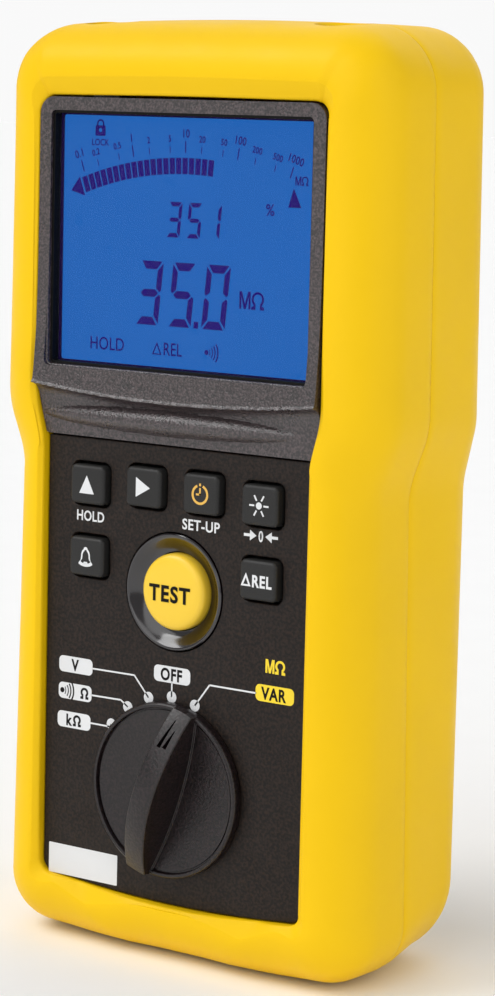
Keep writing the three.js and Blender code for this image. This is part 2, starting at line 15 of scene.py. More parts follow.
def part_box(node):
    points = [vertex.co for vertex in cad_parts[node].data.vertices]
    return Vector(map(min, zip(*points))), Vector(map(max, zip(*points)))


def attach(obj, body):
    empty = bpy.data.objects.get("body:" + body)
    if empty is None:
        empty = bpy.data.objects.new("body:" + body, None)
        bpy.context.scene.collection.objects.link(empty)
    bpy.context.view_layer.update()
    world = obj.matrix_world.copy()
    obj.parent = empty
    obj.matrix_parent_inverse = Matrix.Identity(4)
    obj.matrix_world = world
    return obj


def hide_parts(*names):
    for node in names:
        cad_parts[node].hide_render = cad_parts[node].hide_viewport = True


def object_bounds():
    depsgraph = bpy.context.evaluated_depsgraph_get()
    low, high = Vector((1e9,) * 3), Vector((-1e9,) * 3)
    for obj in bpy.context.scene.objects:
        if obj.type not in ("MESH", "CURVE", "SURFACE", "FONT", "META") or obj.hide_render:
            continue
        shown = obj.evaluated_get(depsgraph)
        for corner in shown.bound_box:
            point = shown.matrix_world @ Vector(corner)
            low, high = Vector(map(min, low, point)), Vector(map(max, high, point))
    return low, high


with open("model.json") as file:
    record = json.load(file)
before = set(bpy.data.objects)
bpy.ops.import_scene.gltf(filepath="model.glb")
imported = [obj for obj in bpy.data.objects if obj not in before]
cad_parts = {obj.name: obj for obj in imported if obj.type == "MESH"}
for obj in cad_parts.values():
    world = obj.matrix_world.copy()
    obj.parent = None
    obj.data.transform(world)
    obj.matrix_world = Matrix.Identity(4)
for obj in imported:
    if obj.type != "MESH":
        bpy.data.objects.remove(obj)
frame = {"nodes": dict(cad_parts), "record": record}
cad_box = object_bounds()
MM = 0.001


def box_mm(node):
    """Lowest and highest corner of a CAD node, in millimetres."""
    low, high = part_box(node)
    return low / MM, high / MM


# ---- Driving dimensions, in millimetres, read from the frame or set here ----
front_low, front_high = box_mm("front_housing")
rear_high = box_mm("rear_housing")[1]
panel_low = box_mm("front_panel")[0]
knob_low, knob_high = box_mm("selector_knob")
button_low, button_high = box_mm("test_button")
door_low, door_high = box_mm("battery_door")
stand_low, stand_high = box_mm("tilt_stand")
pin_low, pin_high = box_mm("stand_hinge_pin")

FRONT_Y = front_low.y
BACK_Y = rear_high.y
HEIGHT = front_high.z
HEAD_HALF = front_high.x
WAIST_HALF = 49.1
WAIST_LOW = 112.0
WAIST_HIGH = 125.0
FOOT_HALF = 51.6
SEAM_GAP = 0.1
SEAM_Y = front_high.y + SEAM_GAP / 2
WALL = 3.0
FRONT_ROUND = 13.0
BACK_ROUND = 12.0
TOP_SLOPE = 0.085  # how steeply the top falls towards the front
GAP = 0.3

PANEL_Y = panel_low.y
PANEL_HALF = 36.9
PANEL_TOP = 118.9
PANEL_FOOT = 13.4
BEZEL_HALF = 39.4
BEZEL_TOP = 196.2
BEZEL_FOOT = 119.3
BEZEL_Y = -21.3
WINDOW = (36.2, 135.5, 193.2)  # half width, low, high
LCD_FIELD = (34.5, 136.5, 192.2)
LCD_Y = -18.5
LCD_FACE = LCD_Y - 0.03
INK = 0.04  # thickness of printing

KEY_PITCH = 16.15
KEY_WIDE = 10.5
KEY_TALL = 9.6
KEY_PROUD = 1.8
TEST_Z = (button_low.z + button_high.z) / 2
COLLAR_RADIUS = 13.4
KNOB_Z = (knob_low.z + knob_high.z) / 2
KNOB_RADIUS = 20.3
KNOB_PROUD = 10.5
KNOB_TURN = 18.0  # degrees clockwise from upright, at rest
DETENT = 18.0  # degrees between two marked positions
SOCKET_X = 32.0
SOCKET_Y = -5.5
SOCKET_DEPTH = 23.0

STAND_HALF = stand_high.x
STAND_LOW = stand_low.z
STAND_TOP = stand_high.z
HINGE_Y = (pin_low.y + pin_high.y) / 2
HINGE_Z = (pin_low.z + pin_high.z) / 2
DOOR_SEAT = BACK_Y - 2.7
STAND_SEAT = BACK_Y - 4.2
DOOR_SCREW_X = 32.2
DOOR_SCREW_Z = (door_low.z + door_high.z) / 2
WELL_RADIUS = 3.3  # of the wells round the screws' heads
SHANK_RADIUS = 2.1  # of the holes for the door's screws
CASE_SCREWS = [(45.6, 184), (-45.6, 184), (43.2, 25), (-43.2, 25)]
BAY = (28.4, 105.6, 194.0)  # half width, low, high
BAY_FLOOR = 11.4
BAY_WALL = 1.6


# ---- Mesh tools ----
def add_object(name, data):
    made = bpy.data.objects.new(name, data)
    bpy.context.scene.collection.objects.link(made)
    return made


def evaluated_mesh(piece):
    """A new mesh of a piece as its modifiers, or its curve, leave it."""
    return bpy.data.meshes.new_from_object(piece.evaluated_get(bpy.context.evaluated_depsgraph_get()))


def make_piece(name, points, faces):
    """A mesh object from points in millimetres, with its faces turned outwards."""
    mesh = bpy.data.meshes.new(name)
    mesh.from_pydata([Vector(p) * MM for p in points], [], faces)
    return tidy_mesh(add_object(name, mesh))


def tidy_mesh(piece):
    """Merges doubled points, drops slivers and turns the faces outwards."""
    work = bmesh.new()
    work.from_mesh(piece.data)
    bmesh.ops.remove_doubles(work, verts=work.verts, dist=1e-7)
    bmesh.ops.dissolve_degenerate(work, dist=1e-8, edges=work.edges)
    bmesh.ops.recalc_face_normals(work, faces=work.faces)
    work.to_mesh(piece.data)
    work.free()
    return piece


def smooth(piece, angle=32.0):
    """Shades a piece smooth, with creases where its faces meet at more than the angle."""
    piece.data.shade_smooth()
    piece.data.set_sharp_from_angle(angle=math.radians(angle))
    return piece


def loft(name, rings, closed=False):
    """A skin through rings of points. A closed loft joins its last ring to its first."""
    count = len(rings[0])
    points = [p for ring in rings for p in ring]
    faces = []
    spans = len(rings) if closed else len(rings) - 1
    for r in range(spans):
        here = r * count
        there = (r + 1) % len(rings) * count
        for i in range(count):
            j = (i + 1) % count
            faces.append((here + i, here + j, there + j, there + i))
    if not closed:
        last = (len(rings) - 1) * count
        faces.append(tuple(range(count)))
        faces.append(tuple(last + i for i in range(count)))
    return make_piece(name, points, faces)


def turned(name, profile, place=(0, 0, 0), axis="Y", steps=96, closed=False):
    """A solid of revolution of a (radius, distance) profile about an axis through place.

    An open profile starts and ends on the axis. A closed one makes a ring.
    """
    px, py, pz = place
    rings = []
    for radius, along in profile:
        reach = radius if closed else max(radius, 1e-4)
        ring = []
        for k in range(steps):
            turn = 2 * math.pi * k / steps
            across = reach * math.sin(turn)
            up = reach * math.cos(turn)
            x, y, z = {"X": (along, across, up), "Y": (across, along, up), "Z": (across, up, along)}[axis]
            ring.append((px + x, py + y, pz + z))
        rings.append(ring)
    return loft(name, rings, closed)


def outline(corners, arc_steps, side_steps=6):
    """(points, outward normals) of a closed front-view outline, listed anticlockwise.

    Each corner is (x, z, radius). Every corner and side gets the same number of points, so two
    outlines with the same number of corners match point for point.
    """
    arcs = []
    count = len(corners)
    for i, (x, z, radius) in enumerate(corners):
        here = Vector((x, z))
        before = (Vector(corners[i - 1][:2]) - here).normalized()
        after = (Vector(corners[(i + 1) % count][:2]) - here).normalized()
        half = before.angle(after) / 2
        centre = here + (before + after).normalized() * radius / math.sin(half)
        start = here + before * radius / math.tan(half) - centre
        bulge = 1 if after.cross(before) > 0 else -1
        sweep = bulge * (math.pi - 2 * half)
        arc = []
        for k in range(arc_steps + 1):
            spoke = Matrix.Rotation(sweep * k / arc_steps, 2) @ start
            arc.append((centre + spoke, spoke.normalized() * bulge))
        arcs.append(arc)
    points = []
    normals = []
    for i, arc in enumerate(arcs):
        points += [p for p, _ in arc]
        normals += [n for _, n in arc]
        end, normal = arc[-1]
        next_start = arcs[(i + 1) % count][0][0]
        for k in range(1, side_steps):
            points.append(end.lerp(next_start, k / side_steps))
            normals.append(normal)
    return points, normals


def mirrored(foot, right, *crown):
    """Corners of a symmetric outline from its right-hand ones, which are listed from the foot up."""
    return [foot, *right, *crown, *[(-x, z, r) for x, z, r in reversed(right)]]


def box_shape(half, low, high, radius, arc_steps=8, middle=0.0):
    """A rectangular outline with rounded corners, from its half width and its two heights."""
    left = middle - half
    right = middle + half
    corners = [(left, low, radius), (right, low, radius), (right, high, radius), (left, high, radius)]
    return outline(corners, arc_steps, 1)


def ring_at(shape, inset, y):
    """One ring of an outline, moved in by inset, at a depth."""
    points, normals = shape
    return [(p.x - n.x * inset, y, p.y - n.y * inset) for p, n in zip(points, normals)]


def quarter(steps):
    """(sine, cosine) at even turns from 0 to 90 degrees."""
    turns = [math.pi / 2 * k / steps for k in range(steps + 1)]
    return [(math.sin(turn), math.cos(turn)) for turn in turns]


def rounded_slab(name, shape, front, back, front_edge=0.4, back_edge=0.0, steps=4):
    """A slab of an outline between two depths, with its rims rounded."""
    front_turns = quarter(steps)[::-1] if front_edge else [(1, 0)]
    back_turns = quarter(steps) if back_edge else [(0, 1)]
    rings = [ring_at(shape, front_edge * (1 - c), front + front_edge * (1 - s)) for s, c in front_turns]
    rings += [ring_at(shape, back_edge * (1 - c), back - back_edge * (1 - s)) for s, c in back_turns]
    return loft(name, rings)


def recess_cutter(shape, floor, mouth, flare=0.5, floor_edge=0.3):
    """A tool that sinks an outline from mouth to floor and rounds the rim and the floor's corner.

    It works towards +Y when mouth lies in front of floor, and towards -Y otherwise.
    """
    way = 1 if floor > mouth else -1
    turns = quarter(4)
    rings = [ring_at(shape, -flare, mouth - way * 3)]
    rings += [ring_at(shape, -flare * (1 - s), mouth + way * flare * (1 - c)) for s, c in turns]
    rings += [ring_at(shape, floor_edge * (1 - c), floor - way * floor_edge * (1 - s)) for s, c in turns]
    return loft("cutter", rings)


def circle_shape(x, z, radius, steps=48):
    """A round outline, in the form that ring_at takes."""
    spokes = [Vector((math.sin(2 * math.pi * k / steps), math.cos(2 * math.pi * k / steps)))
              for k in range(steps)]
    return [Vector((x, z)) + s * radius for s in spokes], spokes


def block(x0, x1, y0, y1, z0, z1):
    """A plain box, used only to cut other pieces or to join to them."""
    corners = [(x, y, z) for x in (x0, x1) for y in (y0, y1) for z in (z0, z1)]
    faces = [(0, 1, 3, 2), (4, 6, 7, 5), (0, 4, 5, 1), (2, 3, 7, 6), (0, 2, 6, 4), (1, 5, 7, 3)]
    return make_piece("block", corners, faces)


def combine(piece, tools, operation):
    """Joins tools to a piece, cuts them from it or keeps what they share, and removes the tools."""
    for tool in tools:
        modifier = piece.modifiers.new("combine", "BOOLEAN")
        modifier.operation = operation
        modifier.solver = "EXACT"
        modifier.object = tool
        result = evaluated_mesh(piece)
        piece.modifiers.clear()
        piece.data = result
        bpy.data.objects.remove(tool)
    return tidy_mesh(piece)


def cut(piece, *tools):
    return combine(piece, tools, "DIFFERENCE")


def join(name, parts):
    """One object from several, which are removed."""
    work = bmesh.new()
    for part in parts:
        work.from_mesh(part.data)
        bpy.data.objects.remove(part)
    mesh = bpy.data.meshes.new(name)
    work.to_mesh(mesh)
    work.free()
    return add_object(name, mesh)


# ---- Printing ----
def curve_to_mesh(curve, y):
    """Turns a filled flat curve into a closed mesh that faces -Y at a depth."""
    holder = add_object("ink", curve)
    bpy.context.view_layer.update()
    mesh = evaluated_mesh(holder)
    bpy.data.objects.remove(holder)
    mesh.transform(Matrix.Translation((0, y * MM, 0)) @ Matrix.Rotation(math.pi / 2, 4, "X"))
    return tidy_mesh(add_object("ink", mesh))


def lettering(text, height, x, y, z, narrow=0.84, weight=0.12):
    """Printed text with its capitals height tall, centred on (x, z).

    narrow scales its width, and weight thickens its strokes and spaces its letters out.
    """
    curve = bpy.data.curves.new("ink", "FONT")
    curve.body = text
    curve.align_x = "CENTER"
    curve.size = height * MM / 0.7
    curve.offset = weight * MM
    curve.space_character = 1 + weight
    curve.extrude = INK * MM / 2
    curve.resolution_u = 4
    made = curve_to_mesh(curve, 0)
    made.data.transform(Matrix.Diagonal((narrow, 1, 1, 1)))
    made.data.transform(Matrix.Translation(Vector((x, y, z - height / 2)) * MM))
    return made


def ink_shape(loops, y):
    """A printed shape from closed loops of (x, z). A loop inside another is a hole."""
    curve = bpy.data.curves.new("ink", "CURVE")
    curve.dimensions = "2D"
    curve.fill_mode = "BOTH"
    curve.extrude = INK * MM / 2
    for loop in loops:
        spline = curve.splines.new("POLY")
        spline.points.add(len(loop) - 1)
        for point, (x, z) in zip(spline.points, loop):
            point.co = (x * MM, z * MM, 0, 1)
        spline.use_cyclic_u = True
    return curve_to_mesh(curve, y)


def ink_each(loops, y):
    return [ink_shape([loop], y) for loop in loops]


def polar(x, z, reach, turn):
    """The point at a reach from (x, z), at a turn in radians anticlockwise from +X."""
    return x + reach * math.cos(turn), z + reach * math.sin(turn)


def circle_loop(x, z, radius, steps=40):
    return [polar(x, z, radius, 2 * math.pi * k / steps) for k in range(steps)]


def arc_loop(x, z, inner, outer, start, end, steps=24):
    """A band along an arc, with its angles in degrees anticlockwise from +X."""
    turns = [math.radians(start + (end - start) * k / steps) for k in range(steps + 1)]
    return [polar(x, z, outer, t) for t in turns] + [polar(x, z, inner, t) for t in reversed(turns)]


def stroke_loop(x0, z0, x1, z1, wide):
    """A straight printed line as a thin rectangle."""
    along = Vector((x1 - x0, z1 - z0)).normalized()
    side = Vector((-along.y, along.x)) * wide / 2
    return [(x0 + side.x, z0 + side.y), (x0 - side.x, z0 - side.y),
            (x1 - side.x, z1 - side.y), (x1 + side.x, z1 + side.y)]


def shape_loop(shape):
    return [(p.x, p.y) for p in shape[0]]


# ---- Materials ----
def add_node(tree, kind, wires, values, **settings):
    """A shader node with its settings, some inputs wired to other sockets and some given values."""
    node = tree.nodes.new("ShaderNode" + kind)
    for name, setting in settings.items():
        setattr(node, name, setting)
    for name, value in values.items():
        node.inputs[name].default_value = value
    for name, source in wires.items():
        tree.links.new(source, node.inputs[name])
    return node


def moulded(name, colour, roughness, grain=0.3, relief=0.03, drift=0.06, painted_sparkle=0.0, **sockets):
    """A moulded finish: grain of a size in mm and a relief in mm, with slow drifts of tone and gloss.

    painted_sparkle is how much brighter the grain's crests and darker its pits are painted: painted
    glints and painted shade, standing in for the sparkle that light gives a spark-eroded face. Other
    shader sockets are set by name, with underscores for the spaces in it.
    """
    material = bpy.data.materials.new(name)
    material.use_nodes = True
    tree = material.node_tree
    shader = tree.nodes["Principled BSDF"]
    place = tree.nodes.new("ShaderNodeTexCoord").outputs["Object"]

    def noise(size_mm, detail=2.0):
        values = {"Scale": 1 / (size_mm * MM), "Detail": detail}
        return add_node(tree, "TexNoise", {"Vector": place}, values).outputs["Fac"]

    def remap(source, source_low, source_high, low, high):
        values = {"From Min": source_low, "From Max": source_high, "To Min": low, "To Max": high}
        return add_node(tree, "MapRange", {"Value": source}, values).outputs["Result"]

    fine = noise(grain)
    tone = remap(noise(28.0, 3.0), 0.3, 0.7, 1 - drift, 1 + drift)
    # Painted glints and painted shade: the grain's crests are painted brighter and its pits darker.
    crest = remap(fine, 0.4, 0.66, 1 / (1 + painted_sparkle), 1 + painted_sparkle)
    gain = add_node(tree, "Math", {0: tone, 1: crest}, {}, operation="MULTIPLY")
    tint = add_node(tree, "VectorMath", {"Scale": gain.outputs["Value"]}, {0: colour}, operation="SCALE")
    gloss = remap(noise(9.0), 0.3, 0.7, roughness * 0.9, min(1.0, roughness * 1.1))
    bump = add_node(tree, "Bump", {"Height": fine}, {"Strength": 1.0, "Distance": relief * MM})
    tree.links.new(tint.outputs["Vector"], shader.inputs["Base Color"])
    tree.links.new(gloss, shader.inputs["Roughness"])
    tree.links.new(bump.outputs["Normal"], shader.inputs["Normal"])
    for socket, value in sockets.items():
        shader.inputs[socket.replace("_", " ")].default_value = value
    return material


def unwire_colour(tree, shader):
    """Frees the shader's base colour, and gives the socket that fed it."""
    wire = shader.inputs["Base Color"].links[0]
    source = wire.from_socket
    tree.links.remove(wire)
    return source


def glowing(name, colour):
    """A backlit surface with a faint unevenness in its light."""
    material = moulded(name, colour, 0.3, grain=2.5, relief=0.0005, drift=0.015, Specular_IOR_Level=0.1)
    tree = material.node_tree
    shader = tree.nodes["Principled BSDF"]
    tree.links.new(unwire_colour(tree, shader), shader.inputs["Emission Color"])
    shader.inputs["Base Color"].default_value = (0.003, 0.012, 0.04, 1)
    shader.inputs["Emission Strength"].default_value = 1.0
    return material


def clear_cover(name):
    """A clear hard-coated cover: nearly all light passes, and its surface still shines a little."""
    material = moulded(name, (0.02, 0.03, 0.05), 0.05, grain=2.0, relief=0.0005, drift=0.01)
    material.node_tree.nodes["Principled BSDF"].inputs["Alpha"].default_value = 0.06
    material.surface_render_method = "BLENDED"
    return material


def wrapped_cell(name):
    """The printed film of a cell: a dark sleeve with a pale band at one end."""
    material = moulded(name, (0.03, 0.06, 0.12), 0.3, grain=0.6, relief=0.004, Metallic=0.35)
    tree = material.node_tree
    shader = tree.nodes["Principled BSDF"]
    place = tree.nodes.new("ShaderNodeTexCoord").outputs["Object"]
    along = add_node(tree, "SeparateXYZ", {"Vector": place}, {}).outputs["X"]
    band = add_node(tree, "Math", {0: along}, {1: 13 * MM}, operation="GREATER_THAN").outputs["Value"]
    wires = {"Factor": band, "A": unwire_colour(tree, shader)}
    mix = add_node(tree, "Mix", wires, {"B": (0.62, 0.62, 0.6, 1)}, data_type="RGBA")
    tree.links.new(mix.outputs["Result"], shader.inputs["Base Color"])
    return material


# The frame, stand, panel, key and knob finishes below paint glints on their grain's crests and shade in its
# pits.
YELLOW = moulded("yellow_elastomer", (0.9, 0.56, 0.003), 0.45, grain=0.22, relief=0.012, drift=0.02,
                 Specular_IOR_Level=0.16)
BEZEL_GREY = moulded("bezel_grey", (0.031, 0.022, 0.023), 0.3, grain=0.5, relief=0.2, drift=0.05,
                     painted_sparkle=1.5, Specular_IOR_Level=0.85)
STAND_GREY = moulded("stand_grey", (0.036, 0.029, 0.029), 0.45, grain=0.5, relief=0.04, painted_sparkle=0.7,
                     Specular_IOR_Level=0.4)
PANEL_BLACK = moulded("panel_black", (0.01, 0.0055, 0.0035), 0.55, grain=0.7, relief=0.08, painted_sparkle=1.2,
                      Specular_IOR_Level=0.3)
KEY_BLACK = moulded("key_rubber", (0.017, 0.0165, 0.016), 0.5, grain=0.3, relief=0.02, painted_sparkle=0.2,
                    Specular_IOR_Level=0.35)
KNOB_BLACK = moulded("knob_black", (0.0072, 0.0038, 0.0043), 0.34, grain=0.62, relief=0.09, painted_sparkle=1.5,
                     Specular_IOR_Level=0.5)
GLOSS_BLACK = moulded("collar_gloss", (0.004, 0.0015, 0.003), 0.18, grain=1.4, relief=0.002,
                      Coat_Weight=1.0, Coat_Roughness=0.13)
SEAL_BLACK = moulded("seal_rubber", (0.015, 0.015, 0.015), 0.7, grain=0.3, relief=0.02)
BUTTON_YELLOW = moulded("button_yellow", (0.92, 0.6, 0.035), 0.36, grain=0.3, relief=0.006, drift=0.02)
INK_WHITE = moulded("ink_white", (0.74, 0.75, 0.76), 0.5, grain=0.15, relief=0.004)
INK_YELLOW = moulded("ink_yellow", (0.9, 0.66, 0.02), 0.5, grain=0.15, relief=0.004)
INK_AMBER = moulded("ink_amber", (0.78, 0.45, 0.08), 0.5, grain=0.15, relief=0.004)
INK_BLACK = moulded("print_black", (0.006, 0.005, 0.005), 0.6, grain=0.3, relief=0.002,
                    Specular_IOR_Level=0.15)
LCD_BLUE = glowing("lcd_blue", (0.009, 0.119, 0.47))
LCD_INK = moulded("lcd_segment", (0.016, 0.002, 0.17), 0.5, grain=0.5, relief=0.001, drift=0.02,
                  Specular_IOR_Level=0.1)
LCD_EDGE = moulded("lcd_edge", (0.016, 0.003, 0.075), 0.5, grain=0.5, relief=0.001,
                   Specular_IOR_Level=0.1)
RECESS_BLACK = moulded("recess_black", (0.003, 0.003, 0.003), 0.5, grain=0.3, relief=0.01,
                       Specular_IOR_Level=0.2)
COVER = clear_cover("display_cover")
GUIDE_WHITE = moulded("guide_white", (0.8, 0.84, 0.86), 0.35, grain=0.5, relief=0.01)
BOARD_GREEN = moulded("board_green", (0.015, 0.1, 0.04), 0.35, grain=0.9, relief=0.02, drift=0.15)
SOCKET_RED = moulded("socket_red", (0.42, 0.01, 0.01), 0.35, grain=0.3, relief=0.01)
STEEL = moulded("steel", (0.6, 0.6, 0.62), 0.3, grain=0.25, relief=0.006, Metallic=1.0)
BRASS = moulded("brass", (0.78, 0.54, 0.2), 0.25, grain=0.25, relief=0.005, Metallic=1.0)
CELL_WRAP = wrapped_cell("cell_wrap")
FERRITE = moulded("ferrite", (0.04, 0.038, 0.04), 0.5, grain=0.25, relief=0.03)
RELAY_WHITE = moulded("relay_white", (0.74, 0.73, 0.69), 0.4, grain=0.4, relief=0.01)

SLOT_FINISH = {
    "housing_yellow": YELLOW,
    "frame_grey": BEZEL_GREY,
    "panel_black": PANEL_BLACK,
    "rubber_black": SEAL_BLACK,
    "gloss_black": GLOSS_BLACK,
    "button_yellow": BUTTON_YELLOW,
    "clear_window": COVER,
    "lcd_blue": LCD_EDGE,
    "guide_white": GUIDE_WHITE,
    "board_green": BOARD_GREEN,
    "socket_red": SOCKET_RED,
    "steel": STEEL,
    "brass": BRASS,
    "cell_wrap": CELL_WRAP,
    "ferrite": FERRITE,
    "relay_white": RELAY_WHITE,
}


def finish_cad_nodes():
    """Every CAD node gets the finish of its record slot; the ones that are replaced aren't shown."""
    for row in frame["record"]["subparts"]:
        materials = frame["nodes"][row["node"]].data.materials
        materials.clear()
        materials.append(SLOT_FINISH[row["material_slot"]])


def place_piece(piece, name, material, body, slot, *nodes):
    """Names a piece, gives it its finish, and says what it rides on and which nodes it stands for."""
    piece.name = name
    piece.data.name = name
    piece.data.materials.clear()
    piece.data.materials.append(material)
    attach(piece, body)
    if nodes:
        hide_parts(*nodes)
    return piece


# ---- Case ----
def case_outline(head, waist, foot, head_corner, foot_corner):
    """The case's front view, standing flat on the ground, from half widths and corner radii."""
    right = [
        (foot, 1.5, foot_corner),
        (waist, WAIST_LOW, 22),
        (head, WAIST_HIGH, 22),
        (head - 1.3, HEIGHT - 1.1, head_corner),
    ]
    points, normals = outline(mirrored((0, -1.4, 242), right, (0, HEIGHT + 0.08, 900)), 14)
    return [Vector((p.x, max(p.y, 0.0))) for p in points], normals


SEAM_EDGE = [(0.35, SEAM_GAP / 2), (0.16, 0.6), (0.05, 1.4), (0.0, 2.6)]  # in from the side, off the seam
TAPER_DEPTH = 16.0  # over which a shell slims from its seam
CASE = case_outline(HEAD_HALF + 0.05, WAIST_HALF, FOOT_HALF, 15.5, 12.5)
FRONT_CASE = case_outline(HEAD_HALF - 0.1, WAIST_HALF - 0.9, FOOT_HALF - 0.6, 15.5, 12.5)
BACK_CASE = case_outline(HEAD_HALF - 0.7, WAIST_HALF + 1.3, FOOT_HALF - 1.0, 15, 19)
OPENING = outline(mirrored((0, PANEL_FOOT - 1.2, 300), [
    (PANEL_HALF + GAP, PANEL_FOOT + 2, 3.2),
    (PANEL_HALF + GAP, PANEL_TOP - 0.6, 16),
    (BEZEL_HALF + GAP, BEZEL_FOOT + 8.5, 28),
    (BEZEL_HALF + GAP, BEZEL_TOP + GAP, 4),
], (0, BEZEL_TOP + GAP + 0.4, 1900)), 14)


def brow(point):
    """1 above the middle of the display and 0 beside and below it."""
    return max(0.0, 1 - (point.x / 43) ** 4) if point.y > BEZEL_TOP else 0.0


def front_section(outer, inner):
    """(distance in from the side, depth) of the front shell's skin at one place on its outline."""
    reach = (inner - outer).length
    over = brow(inner)
    crest = min(FRONT_ROUND, reach - 1.1 - 2.9 * over)
    face = FRONT_Y - 0.9 * over
    edge = face + 0.35 * (reach - crest)
    bend = FRONT_Y + FRONT_ROUND
    inner_round = FRONT_ROUND - WALL
    section = [(into, SEAM_Y - off) for into, off in SEAM_EDGE] + [(0.0, -5.0)]
    section += [(crest * (1 - c), bend - (bend - face) * s) for s, c in quarter(14)]
    section += [
        (crest + 0.25, face + 0.06),
        (reach - 0.7, edge),
        (reach - 0.3, edge + 0.15),
        (reach - 0.06, edge + 0.45),
        (reach, edge + 0.9),
        (reach, PANEL_Y + 2),
    ]
    section += [(WALL + (crest - WALL) * (1 - c), bend - inner_round * s) for s, c in quarter(6)[::-1]]
    return section + [(WALL, SEAM_Y - SEAM_GAP / 2)]


def top_fall(y, z):
    """How far the top of the front shell falls away towards the front at a depth."""
    near = max(0.0, 1 - (HEIGHT - z) / 9)
    return TOP_SLOPE * near * max(0.0, SEAM_Y - 2 - y)


def front_shell():
    """A skin from the case's outline in to the opening round its face, with the socket wells cut."""
    columns = []
    for outer, front, inner in zip(CASE[0], FRONT_CASE[0], OPENING[0]):
        reach = (inner - outer).length
        way = (inner - outer).normalized()
        column = []
        for into, y in front_section(outer, inner):
            share = min(1.0, max(0.0, (SEAM_Y - 2 - y) / TAPER_DEPTH)) * max(0.0, 1 - into / reach)
            point = outer + way * into + (front - outer) * share
            column.append((point.x, y, point.y - top_fall(y, point.y)))
        columns.append(column)
    shell = loft("front_shell", [list(ring) for ring in zip(*columns)], closed=True)
    return cut(shell, *[socket_cutter(side) for side in (1, -1)])


def socket_cutter(side):
    """The bore and the rounded mouth that the case has over one socket."""
    top = HEIGHT
    floor = top - SOCKET_DEPTH
    profile = [(0, floor), (5.7, floor), (5.7, top - 2.6), (5.8, top - 1.8), (6.2, top - 1.0),
               (6.9, top - 0.4), (8.0, top), (8.6, top + 2), (0, top + 2)]
    return turned("cutter", profile, (side * SOCKET_X, SOCKET_Y, 0), "Z", 64)


def back_blank():
    """The rear shell before its recesses: a cup with a rounded back, a little slimmer than its mouth."""
    bend = BACK_Y - BACK_ROUND
    inner_round = BACK_ROUND - WALL
    section = [(BACK_ROUND * (1 - c), bend + BACK_ROUND * s) for s, c in quarter(12)[::-1]]
    section += [(0.0, 14.0), (0.0, 9.0)] + [(into, SEAM_Y + off) for into, off in reversed(SEAM_EDGE)]
    section += [(WALL, SEAM_Y + SEAM_GAP / 2), (WALL, 12.0)]
    section += [(WALL + inner_round * (1 - c), bend + inner_round * s) for s, c in quarter(6)]
    rings = []
    for inset, y in section:
        share = min(1.0, max(0.0, (y - SEAM_Y) / TAPER_DEPTH))
        mouth = ring_at(CASE, inset, y)
        back = ring_at(BACK_CASE, inset, y)
        rings.append([Vector(m).lerp(Vector(b), share) for m, b in zip(mouth, back)])
    return loft("rear_shell", rings)


def rear_shell():
    """The rear shell with its battery bay, its seats for the door and the stand, and its screw wells."""
    shell = back_blank()
    half, low, high = BAY
    wide = half + BAY_WALL
    skin = BACK_Y - 1.5
    combine(shell, [
        block(-wide, wide, BAY_FLOOR - BAY_WALL, skin, low - BAY_WALL, high + BAY_WALL),
        block(-38.2, 38.2, BACK_Y - 5.6, skin, door_low.z - 2, door_high.z + 2),
        block(-30, 30, BACK_Y - 7.4, skin, STAND_LOW - 4, STAND_TOP + 4),
        block(-11, 11, BACK_Y - 7.4, BACK_Y - 3.6, STAND_LOW - 6.6, STAND_LOW),
    ], "UNION")
    door_seat = box_shape(door_high.x + GAP, door_low.z - GAP, door_high.z + GAP, 5.2)
    stand_seat = box_shape(STAND_HALF + 0.5, STAND_LOW - 1, STAND_TOP + 0.8, 3.2)
    notch = box_shape(9, STAND_LOW - 4.8, STAND_LOW + 2, 2.6)
    cuts = [
        recess_cutter(door_seat, DOOR_SEAT, BACK_Y),
        recess_cutter(box_shape(half, low, high, 1.5, 6), BAY_FLOOR, DOOR_SEAT, flare=0.6),
        recess_cutter(stand_seat, STAND_SEAT, BACK_Y),
        recess_cutter(notch, BACK_Y - 4.4, BACK_Y, flare=0.8),
        hinge_trough(),
    ]
    for x, z in CASE_SCREWS:
        cuts.append(recess_cutter(circle_shape(x, z, WELL_RADIUS), BACK_Y - 9, BACK_Y + 0.4, flare=0.9))
    for side in (1, -1):
        hole = circle_shape(side * DOOR_SCREW_X, DOOR_SCREW_Z, SHANK_RADIUS)
        cuts.append(recess_cutter(hole, BACK_Y - 5.4, DOOR_SEAT))
    return cut(shell, *cuts)


def hinge_trough():
    """The round trough that the stand's knuckle turns in."""
    reach = STAND_HALF + 0.5
    return turned("cutter", [(0, -reach), (2.9, -reach), (2.9, reach), (0, reach)],
                  (0, HINGE_Y, HINGE_Z), "X", 40)


def make_case():
    place_piece(smooth(front_shell()), "front_shell", YELLOW, "housing", "housing_yellow", "front_housing")
    place_piece(smooth(rear_shell()), "rear_shell", YELLOW, "housing", "housing_yellow", "rear_housing")


# ---- Display: frame with its lip, cover and liquid crystal ----
CREST_Y = -23.2
HOLLOW = 2.8  # how far the face falls back under the crest
BULGE_X = -2.3
BULGE_Z = 124.1
BULGE_HALF = 35.4  # half its length
BULGE_RISE = 2.9  # half its height
BULGE_PROUD = 2.7


def crest_height(x):
    """Height of the lip's crest, which rises a little towards both sides."""
    return 128.7 + 2.3 * (x / BEZEL_HALF) ** 2


